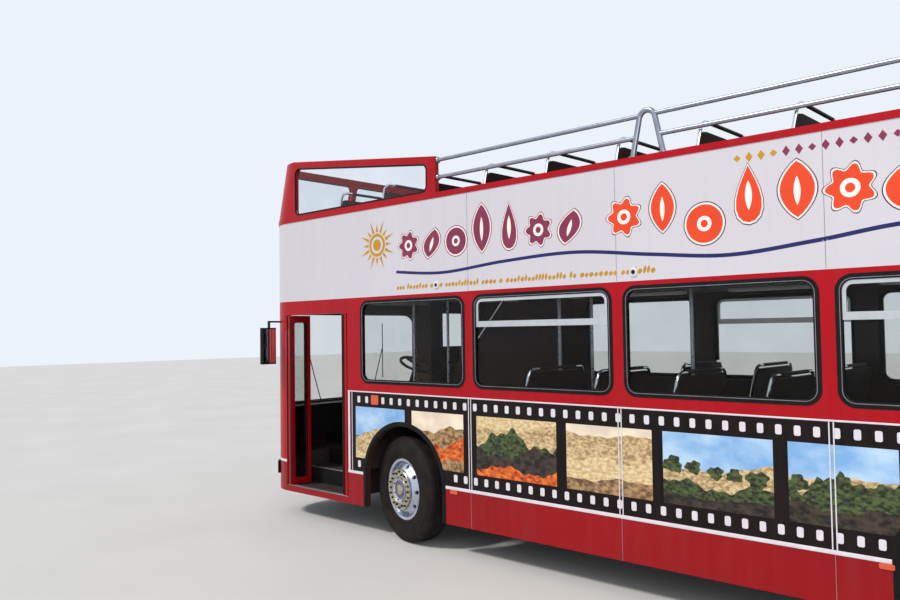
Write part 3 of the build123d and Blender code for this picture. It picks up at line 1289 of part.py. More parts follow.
with BuildPart() as guard_rails:
    for side in (LEFT, RIGHT):
        for hoop_x in HOOPS:
            front_foot = (hoop_x + HOOP_HALF, foot_z)
            rear_foot = (hoop_x - HOOP_HALF, foot_z)
            with BuildLine(Plane.XZ.offset(-side * RAIL_TUBE_Y)) as hoop_path:
                FilletPolyline(front_foot, (hoop_x, apex_z), rear_foot, radius=HOOP_BEND)
            foot_plane = Plane(
                origin=(front_foot[0], side * RAIL_TUBE_Y, foot_z),
                z_dir=(-sin(leg_lean), 0, cos(leg_lean)),
            )
            with BuildSketch(foot_plane):
                Circle(HOOP_R)
            sweep(path=hoop_path.wire())
            with BuildSketch(Plane.XY.offset(CAP_HIGH_Z)):
                with Locations((front_foot[0], side * RAIL_TUBE_Y), (rear_foot[0], side * RAIL_TUBE_Y)):
                    Circle(HOOP_FLANGE_R)
            extrude(amount=HOOP_FLANGE_T)
        for rail_z in (RAIL_LOW_Z, RAIL_HIGH_Z):
            reach = hoop_reach(rail_z)
            spans = ((SCREEN_REAR_X, HOOPS[0] + reach), (HOOPS[0] - reach, HOOPS[1] + reach))
            for front_x, rear_x in spans:
                with BuildSketch(Plane.YZ.offset(front_x)):
                    with Locations((side * RAIL_TUBE_Y, rail_z)):
                        Circle(TUBE_R)
                extrude(amount=rear_x - front_x)
    for rail_z in (RAIL_LOW_Z, RAIL_HIGH_Z):
        start_x = HOOPS[1] - hoop_reach(rail_z)
        with BuildLine(Plane.XY.offset(rail_z)) as rail_path:
            FilletPolyline(
                (start_x, RAIL_TUBE_Y),
                (RAIL_REAR_X, RAIL_TUBE_Y),
                (RAIL_REAR_X, -RAIL_TUBE_Y),
                (start_x, -RAIL_TUBE_Y),
                radius=REAR_RADIUS - CAP_W / 2,
            )
        with BuildSketch(Plane(origin=(start_x, RAIL_TUBE_Y, rail_z), z_dir=(-1, 0, 0))):
            Circle(TUBE_R)
        sweep(path=rail_path.wire())
    with BuildSketch(Plane.XY.offset(CAP_HIGH_Z)):
        with Locations((RAIL_REAR_X, STANCHION_Y), (RAIL_REAR_X, -STANCHION_Y)):
            Circle(STANCHION_R)
    extrude(amount=RAIL_HIGH_Z - CAP_HIGH_Z)
save(guard_rails, "guard_rails")


# Cab: platform, partition behind the driver, dash, seat and steering wheel
CAB_REAR_X = STAIR_FOOT_X + 15.0
CAB_IN_Y = 1000.0 - SIDE_Y
CAB_Z = 850.0
PARTITION_T = 30.0
PARTITION_WINDOW_W = 620.0
DASH_X = BODY_FRONT - 290.0
DASH_Z = WINDSCREEN[1] - 20.0
DRIVER_Y = 530.0 - SIDE_Y
DRIVER_SEAT_Z = 380.0
DRIVER_SEAT_X = DASH_X - 650.0
WHEEL_R = 230.0
WHEEL_X = DASH_X - 250.0
WHEEL_Z = 1640.0
WHEEL_TILT = 25.0
COLUMN_R = 26.0
with BuildPart() as cab:
    with BuildSketch(Plane.XY.offset(FLOOR_Z)):
        add(plan_inner.sketch)
        with Locations((CAB_REAR_X + BODY_LENGTH / 2, CAB_IN_Y - BODY_WIDTH / 2)):
            Rectangle(BODY_LENGTH, BODY_WIDTH, mode=Mode.INTERSECT)
    extrude(amount=CAB_Z - FLOOR_Z)
    with BuildSketch(Plane.XY.offset(CAB_Z)):
        add(plan_inner.sketch)
        with Locations((DASH_X + BODY_LENGTH / 2, 0)):
            Rectangle(BODY_LENGTH, BODY_WIDTH, mode=Mode.INTERSECT)
    extrude(amount=DASH_Z - CAB_Z)
    with BuildSketch(Plane.XY.offset(FLOOR_Z)):
        with Locations((CAB_REAR_X + PARTITION_T / 2, (CAB_IN_Y - INNER_Y) / 2)):
            Rectangle(PARTITION_T, INNER_Y + CAB_IN_Y)
    extrude(amount=DECK_Z - FLOOR_Z)
    with BuildSketch(Plane.YZ.offset(CAB_REAR_X)):
        with Locations((DRIVER_Y, WINDOW_MID_Z)):
            RectangleRounded(PARTITION_WINDOW_W, WINDOW_H - 2 * WINDOW_R, WINDOW_R / 2)
    extrude(amount=PARTITION_T, mode=Mode.SUBTRACT)
    # Driver's seat: pedestal, cushion and back
    with BuildSketch(Plane.XY.offset(CAB_Z)):
        with Locations((DRIVER_SEAT_X - 20, DRIVER_Y)):
            Rectangle(300, 300)
    extrude(amount=DRIVER_SEAT_Z)
    with BuildSketch(Plane.XY.offset(CAB_Z + DRIVER_SEAT_Z)):
        with Locations((DRIVER_SEAT_X, DRIVER_Y)):
            RectangleRounded(460, 480, 60)
    extrude(amount=CUSHION_T + 20)
    with BuildSketch(Plane.XY.offset(CAB_Z + DRIVER_SEAT_Z + CUSHION_T + 20)):
        with Locations((DRIVER_SEAT_X - 190, DRIVER_Y)):
            RectangleRounded(80, 440, 30)
    extrude(amount=SEAT_BACK_H - 40)
save(cab, "cab")

wheel_lean = radians(WHEEL_TILT)
wheel_plane = Plane(origin=(WHEEL_X, DRIVER_Y, WHEEL_Z), z_dir=(-sin(wheel_lean), 0, cos(wheel_lean)))
column_l = (DASH_X - WHEEL_X) / sin(wheel_lean) + 4 * COLUMN_R
with BuildPart() as steering_wheel:
    with BuildSketch(wheel_plane):
        Circle(WHEEL_R)
        Circle(WHEEL_R - 30, mode=Mode.SUBTRACT)
        Rectangle(2 * WHEEL_R - 20, 36)
        Circle(2 * COLUMN_R)
    extrude(amount=COLUMN_R)
    with BuildSketch(wheel_plane):
        Circle(COLUMN_R)
    extrude(amount=-column_l)
    # The column ends on the dash
    with BuildSketch(Plane.YZ.offset(DASH_X)):
        with Locations((DRIVER_Y, DASH_Z)):
            Rectangle(8 * COLUMN_R, 2 * column_l)
    extrude(amount=column_l, mode=Mode.SUBTRACT)
save(steering_wheel, "steering_wheel")


# Grab poles from the lower floor to the ceiling
POLE_R = 16.0
POLE_Y = INNER_Y - SEAT_GAP - SEAT_W - POLE_R - RUN
POLE_XS = (DOOR_REAR_X - 32.0, FRONT_AXLE_X - 1230.0, FRONT_AXLE_X - 2610.0)
# Columns: x, side
POLES = (
    (POLE_XS[0], LEFT),
    (POLE_XS[0], RIGHT),
    (POLE_XS[1], LEFT),
    (POLE_XS[1], RIGHT),
    (POLE_XS[2], LEFT),
)
with BuildPart() as grab_poles:
    with BuildSketch(Plane.XY.offset(FLOOR_Z)):
        for pole_x, side in POLES:
            with Locations((pole_x, side * POLE_Y)):
                Circle(POLE_R)
    extrude(amount=DECK_Z - FLOOR_Z)
save(grab_poles, "grab_poles")


# Bumpers on both ends, following the body's corners. The rear one has a gap at the tow eye.
# Columns: direction, low z, gap width
BUMPER_H = 140.0
BUMPER_WRAP = 180.0
BUMPERS = (
    (1, 450.0, 0.0),
    (-1, 300.0, 2 * TOW_NOTCH[0]),
)
with BuildPart() as bumpers:
    for end, low_z, gap in BUMPERS:
        with BuildSketch(Plane.XY.offset(low_z)):
            with BuildSketch(mode=Mode.PRIVATE) as outline:
                add(plan_outer.sketch)
                offset(amount=BUMPER_REACH)
            add(outline.sketch)
            add(plan_outer.sketch, mode=Mode.SUBTRACT)
            with Locations((end * (BODY_FRONT - BUMPER_WRAP + BODY_LENGTH / 2), 0)):
                Rectangle(BODY_LENGTH, 2 * BODY_WIDTH, mode=Mode.INTERSECT)
            if gap:
                with Locations((end * BODY_FRONT, 0)):
                    Rectangle(4 * BUMPER_REACH, gap, mode=Mode.SUBTRACT)
        extrude(amount=BUMPER_H)
save(bumpers, "bumpers")


# Lamps: clear round ones in front, red behind, amber on the sides and corners
LAMP_PROUD = 14.0
HEADLAMP_R = 88.0
HEADLAMP_Z = 800.0
HEADLAMP_YS = (SIDE_Y - 690.0, SIDE_Y - 490.0)
with BuildPart() as headlamps:
    with BuildSketch(Plane.YZ.offset(BODY_FRONT)):
        for lamp_y in HEADLAMP_YS:
            with Locations((-lamp_y, HEADLAMP_Z), (lamp_y, HEADLAMP_Z)):
                Circle(HEADLAMP_R)
    extrude(amount=LAMP_PROUD)
save(headlamps, "headlamps")

REAR_LAMP_R = 50.0
REAR_LAMP_Y = LID_HALF_W + 130.0
REAR_LAMP_ZS = (800.0, 930.0, 1060.0)
with BuildPart() as rear_lamps:
    with BuildSketch(Plane.YZ.offset(BODY_REAR)):
        for lamp_z in REAR_LAMP_ZS:
            with Locations((-REAR_LAMP_Y, lamp_z), (REAR_LAMP_Y, lamp_z)):
                Circle(REAR_LAMP_R)
    extrude(amount=-LAMP_PROUD)
save(rear_lamps, "rear_lamps")

MARKER_Z = 590.0
MARKER_XS = (FRONT_AXLE_X - 695.0, REAR_AXLE_X + 616.0)
REPEATER_X = FRONT_AXLE_X + 393.0
REPEATER_Z = 1389.0
SIDE_LAMP_PROUD = 10.0
with BuildPart() as side_lamps:
    for side in (LEFT, RIGHT):
        with BuildSketch(side_plane(side)):
            with Locations(*((marker_x, MARKER_Z) for marker_x in MARKER_XS)):
                RectangleRounded(90, 36, 12)
            with Locations((REPEATER_X, REPEATER_Z)):
                RectangleRounded(110, 96, 16)
        extrude(amount=side * -SIDE_LAMP_PROUD)
save(side_lamps, "side_lamps")


# Driving mirrors on arms from the front corners
MIRROR_W = 200.0
MIRROR_H = 420.0
MIRROR_T = 60.0
MIRROR_Y = SIDE_Y + 130.0
MIRROR_X = CORNER_FRONT_X + 180.0
MIRROR_TOP_Z = 2150.0
ARM_TOP_Z = MIRROR_TOP_Z + 80.0
ARM_T = 20.0
ARM_ROOT_Y = SIDE_Y - 42.0
with BuildPart() as mirrors:
    for side in (LEFT, RIGHT):
        with BuildSketch(Plane.XY.offset(MIRROR_TOP_Z)):
            with Locations((MIRROR_X, side * MIRROR_Y)):
                RectangleRounded(MIRROR_T, MIRROR_W, 25)
        extrude(amount=-MIRROR_H)
        with BuildSketch(Plane.YZ.offset(MIRROR_X - 15)):
            with BuildLine():
                Polyline(
                    (side * ARM_ROOT_Y, ARM_TOP_Z),
                    (side * MIRROR_Y, ARM_TOP_Z),
                    (side * MIRROR_Y, MIRROR_TOP_Z),
                    (side * (MIRROR_Y - ARM_T), MIRROR_TOP_Z),
                    (side * (MIRROR_Y - ARM_T), ARM_TOP_Z - ARM_T),
                    (side * ARM_ROOT_Y, ARM_TOP_Z - ARM_T),
                    close=True,
                )
            make_face()
        extrude(amount=ARM_T + 4)
    # The arms end on the body's corners
    with BuildSketch(Plane.XY.offset(MIRROR_TOP_Z)):
        add(plan_outer.sketch)
    extrude(amount=2 * (ARM_TOP_Z - MIRROR_TOP_Z), mode=Mode.SUBTRACT)
save(mirrors, "mirrors")
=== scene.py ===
import random
from collections import defaultdict
from math import ceil, cos, floor, hypot, pi, radians, sin, sqrt, tan

import bmesh
import bpy
from mathutils import Matrix, Vector
from mathutils.geometry import tessellate_polygon


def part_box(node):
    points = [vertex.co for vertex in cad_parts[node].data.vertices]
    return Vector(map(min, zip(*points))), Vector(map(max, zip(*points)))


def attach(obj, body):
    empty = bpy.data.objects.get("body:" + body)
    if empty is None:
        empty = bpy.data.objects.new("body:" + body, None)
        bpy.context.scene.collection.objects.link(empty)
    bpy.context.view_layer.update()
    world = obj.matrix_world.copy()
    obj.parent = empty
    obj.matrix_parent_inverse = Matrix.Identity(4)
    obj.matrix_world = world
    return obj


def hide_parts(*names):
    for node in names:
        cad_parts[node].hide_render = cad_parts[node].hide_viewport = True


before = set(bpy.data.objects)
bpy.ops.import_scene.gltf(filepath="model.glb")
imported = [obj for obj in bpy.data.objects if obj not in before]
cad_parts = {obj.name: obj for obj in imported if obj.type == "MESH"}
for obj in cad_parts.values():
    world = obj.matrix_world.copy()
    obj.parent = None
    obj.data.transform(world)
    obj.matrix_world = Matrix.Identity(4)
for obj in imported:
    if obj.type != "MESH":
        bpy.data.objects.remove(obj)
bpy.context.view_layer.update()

random.seed(7)

# Places and sizes, in metres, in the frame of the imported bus: X forward, Y to the nearside,
# Z up. What a node's box gives is read from it.
(REAR_CORNER_X, _, DECK_Z), (FRONT_CORNER_X, SIDE_Y, CAP_LOW_Z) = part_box("side_left_upper")
(SCREEN_REAR_X, _, _), (_, _, SCREEN_TOP_Z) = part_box("screen_frame")
(EXIT_REAR_X, _, _), (EXIT_FRONT_X, _, _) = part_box("emergency_door")
(MIRROR_REAR_X, _, _), (_, MIRROR_END_Y, _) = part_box("mirrors")
BODY_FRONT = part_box("front_upper")[1].x
BODY_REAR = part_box("rear_upper")[0].x
SKIRT_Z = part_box("side_left_lower")[0].z
CAP_HIGH_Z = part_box("cap_rail")[1].z
FRONT_RADIUS = BODY_FRONT - FRONT_CORNER_X
REAR_RADIUS = REAR_CORNER_X - BODY_REAR
SCREEN_RAKE = 0.165
LEFT, RIGHT = SIDES = (1, -1)
NAMED_SIDES = ((LEFT, "left"), (RIGHT, "right"))
UP = Vector((0, 0, 1))

FRONT_AXLE_X = 2.38
REAR_AXLE_X = -2.57
AXLES = (FRONT_AXLE_X, REAR_AXLE_X)
AXLE_Z = 0.52
KINGPIN_Y = 1.0
STEER_REST = radians(-12.5)
ARCH_R = 0.54
ARCH_Z = 0.606
LIP_R = 0.585
LIP_GAP = LIP_R + 0.004

# Floors: upper deck, lower deck, rear platform, entrance step and sill. Doorway: its two ends
UPPER_FLOOR_Z = DECK_Z + 0.05
FLOOR_Z = 0.7
PLATFORM_Z = 0.98
STEP_Z = 0.525
SILL_Z = 0.35
DOOR_REAR_X = 3.212
DOOR_FRONT_X = 4.3

# Lines of the livery: waist moulding, skirt moulding, and the film band between them
WAIST_Z = 1.465
LINE_Z = 0.623
FILM_LOW_Z = 0.637
FILM_HIGH_Z = 1.458
THIN_STRIP_X = 3.137
PILLARS = [FRONT_AXLE_X - 0.902 - bay * 1.565 for bay in range(4)]

# Side windows: rear edge and front edge of each
WINDOW_LOW_Z = 1.553
WINDOW_HIGH_Z = 2.411
WINDOW_R = 0.11
WINDOWS = {
    LEFT: [(x + 0.048, x + 1.517) for x in PILLARS] + [(PILLARS[3] - 1.033, PILLARS[3] - 0.048)],
    RIGHT: [(3.64, 4.23)] + [(0.465 - 1.565 * bay, 1.84 - 1.565 * bay) for bay in range(3)],
}
# Other openings: low and high across or along, low and high Z, and radius of the corners
SCREEN_PANE = (0.04, SIDE_Y - 0.2, 3.448, 3.97, 0.06)
WINDSCREEN = (-1.1, 1.1, 1.24, 2.32, 0.12)
REAR_WINDOW = (-0.9, 0.9, 1.553, 2.351, 0.11)
EXIT_WINDOW = (-3.89, -3.35, 1.553, 2.351, 0.09)
BLIND = (-0.62, 0.62, 2.56, 2.9, 0.03)
GRILLE = (-0.412, 0.412, 0.628, 0.952, 0.045)
# Heights of a printed layer's two faces over its panel
PRINT = (-0.0004, 0.0008)


# Colours, linear

def srgb(r, g, b):
    """A colour given in 0 to 255 steps, as the linear values that shaders take."""
    return tuple(((c / 255 + 0.055) / 1.055) ** 2.4 if c > 10 else c / 255 / 12.92
                 for c in (r, g, b))


def dim(color, share):
    """A share of a colour's brightness."""
    return tuple(c * share for c in color)


SKIRT_RED = srgb(148, 12, 20)
TRIM = srgb(62, 42, 34)
LINING = srgb(136, 128, 122)
CEILING = srgb(104, 96, 86)
BLACK = srgb(14, 14, 15)
GRIME = (0.16, 0.14, 0.12)


# Materials

class Nodes:
    """The shader nodes of a material or world in the making, with short ways to usual ones."""

    def __init__(self, made):
        made.use_nodes = True
        self.made = made
        self.nodes, self.links = made.node_tree.nodes, made.node_tree.links
        self.shader = self.nodes.get("Principled BSDF")

    def fill(self, node, inputs):
        """Set a node's inputs, by name or number, to values or to other nodes' outputs."""
        for key, value in inputs.items():
            socket = node.inputs[key]
            if isinstance(value, bpy.types.NodeSocket):
                self.links.new(value, socket)
            else:
                socket.default_value = (*value, 1) if socket.type == "RGBA" else value
        return node

    def add(self, kind, inputs, output=0):
        """An output of a new node."""
        return self.fill(self.nodes.new("ShaderNode" + kind), inputs).outputs[output]

    def mapping(self, scale):
        return self.add("Mapping", {"Vector": self.add("TexCoord", {}, "Object"), "Scale": scale})

    def part(self, kind, axis):
        """X, Y or Z of the place in the object or of the surface's normal."""
        return self.add("SeparateXYZ", {0: self.add("TexCoord", {}, kind)}, axis)

    def noise(self, vector, size, detail=4.0):
        return self.add("TexNoise", {"Vector": vector, "Scale": size, "Detail": detail}, "Fac")

    def ramp(self, factor, first, second, low=0.3, high=0.7):
        node = self.nodes.new("ShaderNodeValToRGB")
        for element, at, color in zip(node.color_ramp.elements, (low, high), (first, second)):
            element.position = at
            element.color = (*color, 1)
        return self.fill(node, {"Fac": factor}).outputs["Color"]

    def spread(self, value, low, high, to_low, to_high):
        return self.add("MapRange", {"Value": value, "From Min": low, "From Max": high,
                                     "To Min": to_low, "To Max": to_high}, "Result")

    def mix(self, factor, first, second):
        node = self.nodes.new("ShaderNodeMix")
        node.data_type = "RGBA"
        return self.fill(node, {"Factor": factor, "A": first, "B": second}).outputs["Result"]

    def math(self, operation, first, second):
        node = self.nodes.new("ShaderNodeMath")
        node.operation = operation
        return self.fill(node, {0: first, 1: second}).outputs[0]

    def outward(self, along):
        """How far a surface faces away from the bus's middle: over 0 on its outside."""
        x, y = [self.math("MULTIPLY", self.part("Object", i), self.part("Normal", i))
                for i in range(2)]
        return self.math("ADD", self.math("MULTIPLY", x, along), y)


def material(name, color, rough=0.5, metal=0.0, vary=0.0, scale=3.0, bump=0.0, bump_scale=60.0,
             uneven=0.0, level=0.5, coat=0.0, streaks=0.0, stretch=(1, 1, 1), parts=None):
    """A surface whose colour, roughness and relief vary by noise at a real scale.

    parts, where given, turns the plain colour into one that depends on the place."""
    kit = Nodes(bpy.data.materials.new(name))
    vector = kit.mapping(stretch)
    shade = kit.noise(vector, scale)
    light = tuple(min(1.0, c * (1 + 0.5 * vary) + 0.01 * vary) for c in color)
    colour = kit.ramp(shade, dim(color, 1 - vary), light)
    if parts:
        colour = parts(kit, colour, shade)
    if streaks:
        # Rain streaks and grime, stretched along Z
        runs = kit.noise(kit.mapping((9.0, 9.0, 0.5)), 2.0, 6.0)
        colour = kit.mix(kit.spread(runs, 0.45, 0.8, 0.0, streaks), colour, GRIME)
    looks = {"Base Color": colour, "Metallic": metal, "Roughness": rough, "Coat Weight": coat,
             "Coat Roughness": 0.08, "Specular IOR Level": level}
    if uneven:
        patches = kit.noise(vector, scale * 2.3)
        looks["Roughness"] = kit.spread(patches, 0.0, 1.0, rough - uneven, rough + uneven)
    if bump:
        height = kit.noise(vector, bump_scale)
        looks["Normal"] = kit.add("Bump", {"Strength": 0.6, "Distance": bump, "Height": height})
    kit.fill(kit.shader, looks)
    return kit.made


def panel(along, lining, skirt=None):
    """Parts of a body panel: its colour outside, a lining inside, and a skirt's colour low down."""
    def parts(kit, colour, shade):
        if skirt:
            low = kit.math("LESS_THAN", kit.part("Object", 2), LINE_Z)
            colour = kit.mix(low, colour, kit.ramp(shade, dim(skirt, 0.85), skirt))
        inside = kit.math("LESS_THAN", kit.outward(along), 0.1)
        return kit.mix(inside, colour, kit.ramp(shade, dim(lining, 0.8), lining))
    return parts


def ceiling(kit, colour, shade):
    """Parts of the upper floor: the ceiling's colour on what faces down."""
    below = kit.ramp(shade, dim(CEILING, 0.8), CEILING)
    return kit.mix(kit.math("LESS_THAN", kit.part("Normal", 2), -0.5), colour, below)


def boxed(kit, colour, shade):
    """Parts of the lower floor: black below and on what faces the wheels."""
    below = kit.math("LESS_THAN", kit.part("Normal", 2), -0.5)
    outer = kit.math("GREATER_THAN", kit.outward(0.0), 0.2)
    return kit.mix(kit.math("MAXIMUM", below, outer), colour, BLACK)


def glass(name, color, ior):
    """Tinted glass with a faint film of dust in its roughness."""
    kit = Nodes(bpy.data.materials.new(name))
    dust = kit.noise(kit.mapping((1, 1, 1)), 2.5)
    kit.fill(kit.shader, {"Transmission Weight": 1.0, "IOR": ior,
                          "Roughness": kit.spread(dust, 0.0, 1.0, 0.0, 0.03),
                          "Base Color": kit.ramp(dust, dim(color, 0.93), color)})
    return kit.made


def picture_ink(name, first, second, size):
    """Mottled print of one layer of a picture."""
    kit = Nodes(bpy.data.materials.new(name))
    fine = kit.noise(kit.mapping((1, 1, 1.6)), size, 8.0)
    kit.fill(kit.shader, {"Specular IOR Level": 0.35, "Roughness": 0.42,
                          "Base Color": kit.ramp(fine, first, second, 0.38, 0.62)})
    return kit.made


# Surfaces: name, colour, roughness, metal, strength and scale of the colour's noise, depth and
# scale of the relief, unevenness of the roughness, and specular level
PAINT = ((164, 2, 20), 0.34, 0, 0.07, 1.2, 0.0004, 9, 0.06, 0.18)
ENAMEL = ((202, 197, 204), 0.38, 0, 0.03, 0.9, 0.0005, 5, 0.06, 0.25)
SURFACES = {
    "red": ("red_paint", *PAINT),
    "red_side": ("red_side_panels", *PAINT),
    "red_end": ("red_end_panels", *PAINT),
    "white_side": ("white_side_panels", *ENAMEL),
    "white_end": ("white_end_panels", *ENAMEL),
    "white_trim": ("white_moulding", (214, 209, 216), 0.5, 0, 0.08, 14, 0.0002, 80, 0, 0.5),
    "seam": ("seam_shadow", (128, 126, 134), 0.6, 0, 0.2, 20, 0.0002, 60, 0, 0.5),
    "film": ("film_band", (20, 10, 11), 0.45, 0, 0.2, 3, 0.0002, 60, 0, 0.15),
    "gasket": ("window_rubber", (14, 13, 14), 0.6, 0, 0.25, 18, 0.0004, 120, 0.12, 0.15),
    "bead": ("bright_bead", (150, 152, 158), 0.25, 0.9, 0.25, 9, 0.0001, 60, 0.1, 0.5),
    "tyre": ("tyre_rubber", (30, 25, 23), 0.8, 0, 0.35, 9, 0.0008, 90, 0.1, 0.15),
    "chassis": ("chassis_paint", (24, 23, 24), 0.65, 0, 0.35, 7, 0.0008, 40, 0.15, 0.2),
    "engine": ("engine_iron", (70, 72, 74), 0.55, 0.6, 0.3, 9, 0.001, 60, 0.15, 0.5),
    "floor": ("floor_lino", (54, 48, 45), 0.75, 0, 0.25, 30, 0.0004, 220, 0.1, 0.2),
    "deck": ("deck_lino", (92, 90, 88), 0.75, 0, 0.2, 25, 0.0004, 220, 0.1, 0.5),
    "brown": ("brown_laminate", (58, 34, 26), 0.55, 0, 0.2, 6, 0.0003, 150, 0.08, 0.2),
    "seat": ("seat_moquette", (52, 30, 25), 0.9, 0, 0.35, 55, 0.001, 420, 0.05, 0.15),
    "seat_shell": ("seat_shell", (40, 22, 18), 0.6, 0, 0.2, 12, 0.0004, 200, 0.08, 0.15),
    "dark": ("dark_plastic", (22, 20, 21), 0.55, 0, 0.2, 15, 0.0004, 200, 0.1, 0.2),
    "steel": ("rail_steel", (150, 154, 166), 0.3, 0.9, 0.14, 12, 0.0001, 200, 0.12, 0.5),
    "chrome": ("chrome_tube", (214, 216, 222), 0.14, 1, 0.08, 10, 0.0001, 160, 0.06, 0.5),
    "aluminium": ("anodised_aluminium", (206, 208, 212), 0.36, 0.9, 0.08, 14, 0.0001, 60, 0.1, 0.5),
    "rim": ("rim_silver", (190, 195, 208), 0.26, 0.9, 0.1, 14, 0.0001, 50, 0.08, 0.5),
    "hub": ("hub_steel", (186, 178, 158), 0.32, 0.9, 0.22, 24, 0.0005, 110, 0.12, 0.5),
    "violet": ("hub_cap_ring", (112, 108, 140), 0.35, 0.6, 0.2, 20, 0.0002, 60, 0, 0.5),
    "lamp_clear": ("lamp_lens", (222, 225, 230), 0.1, 0.8, 0.12, 30, 0.001, 90, 0, 0.5),
    "mirror": ("mirror_glass", (226, 230, 232), 0.03, 1, 0.03, 4, 0, 60, 0.02, 0.5),
    "lamp_red": ("lamp_red_lens", (150, 12, 16), 0.15, 0, 0.1, 60, 0.0006, 160, 0, 0.5),
    "lamp_amber": ("lamp_amber_lens", (206, 74, 22), 0.18, 0, 0.12, 60, 0.0006, 160, 0, 0.5),
    "diffuser": ("lamp_diffuser", (214, 214, 206), 0.4, 0, 0.06, 12, 0.0002, 60, 0, 0.5),
}
# Printed film on the panels: colour, and strength of its noise
VINYLS = {
    "navy": ((22, 24, 92), 0.1), "gold": ((186, 138, 24), 0.12), "maroon": ((126, 42, 72), 0.12),
    "orange": ((222, 66, 26), 0.08), "plum": ((74, 34, 66), 0.1), "pale": ((238, 226, 222), 0.04),
}
for key, (color, vary) in VINYLS.items():
    SURFACES[key] = (key + "_vinyl", color, 0.42, 0, vary, 5, 0.0001, 40, 0, 0.35)
COATED = {"coat": 0.05, "streaks": 0.05}
WASHED = {"coat": 0.1, "streaks": 0.05}
EXTRAS = {
    "red": COATED,
    "red_side": {**COATED, "parts": panel(0.0, TRIM, SKIRT_RED)},
    "red_end": {**COATED, "parts": panel(0.25, TRIM, SKIRT_RED)},
    "white_side": {**WASHED, "parts": panel(0.0, LINING)},
    "white_end": {**WASHED, "parts": panel(0.25, LINING)},
    "white_trim": {"streaks": 0.1},
    "film": {"streaks": 0.03},
    "floor": {"parts": boxed},
    "deck": {"parts": ceiling},
    "lamp_clear": {"coat": 0.9, "stretch": (1, 8, 1)},
    "lamp_red": {"coat": 0.8},
    "lamp_amber": {"coat": 0.8},
    "diffuser": {"streaks": 0.1},
}
# Inks of the pictures: two colours, and the scale of their mottling
INKS = {
    "sky": ((120, 166, 214), (176, 204, 230), 3.5),
    "dusk": ((214, 196, 178), (238, 222, 196), 4.0),
    "sea": ((40, 96, 128), (86, 146, 168), 26.0),
    "stone": ((150, 122, 84), (212, 186, 140), 34.0),
    "rock": ((96, 70, 48), (176, 140, 96), 22.0),
    "leaves": ((24, 30, 18), (78, 92, 52), 30.0),
    "shade": ((20, 18, 18), (66, 54, 44), 18.0),
    "ember": ((150, 34, 10), (232, 120, 44), 16.0),
    "sand": ((190, 160, 112), (226, 204, 160), 24.0),
}
MAT = {"glass": glass("window_glass", (0.8, 0.82, 0.81), 1.18),
       "screen": glass("screen_glass", (0.9, 0.93, 0.95), 1.25)}
for key, (name, color, *looks) in SURFACES.items():
    MAT[key] = material(name, srgb(*color), *looks, **EXTRAS.get(key, {}))
for key, (first, second, size) in INKS.items():
    MAT[key] = picture_ink("print_" + key, srgb(*first), srgb(*second), size)

# Starts of the names of the nodes that each material is for
NODE_MATERIALS = {
    "red": "cap_rail screen_frame door_",
    "red_side": "side_left_lower side_right_lower emergency_door",
    "red_end": "front_lower rear_lower engine_cover",
    "white_side": "side_left_upper side_right_upper",
    "white_end": "front_upper rear_upper",
    "gasket": "window_rubbers windscreen_bar",
    "aluminium": "hopper_frames",
    "floor": "lower_floor",
    "deck": "upper_floor",
    "brown": "staircase stair_guard",
    "chassis": "chassis_frame fuel_tank front_axle rear_axle leaf_springs knuckle_",
    "engine": "engine_block",
    "rim": "rim_ rims_",
    "steel": "guard_rails grab_poles",
    "dark": "cab steering_wheel bumpers mirrors grille",
    "lamp_clear": "headlamps",
    "lamp_red": "rear_lamps",
    "lamp_amber": "side_lamps",
    "glass": "side_glass end_glass",
    "screen": "screen_glass",
    "tyre": "tyre_ tyres_",
    "seat": "seats_",
}
SHADOWLESS = ("end_glass", "screen_glass")
for name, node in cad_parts.items():
    node.visible_shadow = name not in SHADOWLESS
    for key, starts in NODE_MATERIALS.items():
        if name.startswith(tuple(starts.split())):
            node.data.materials.clear()
            node.data.materials.append(MAT[key])


# Shapes

def put(name, data):
    """A new object in the scene."""
    made = bpy.data.objects.new(name, data)
    bpy.context.scene.collection.objects.link(made)
    return made


def turns(count, first=0.0):
    """Angles of equal steps round a circle."""
    return [2 * pi * (k + first) / count for k in range(count)]


def circle(u, v, radius, steps=24, first=0.0):
    """Outline of a circle, as (u, v) points."""
    return [(u + radius * cos(t), v + radius * sin(t)) for t in turns(steps, first)]


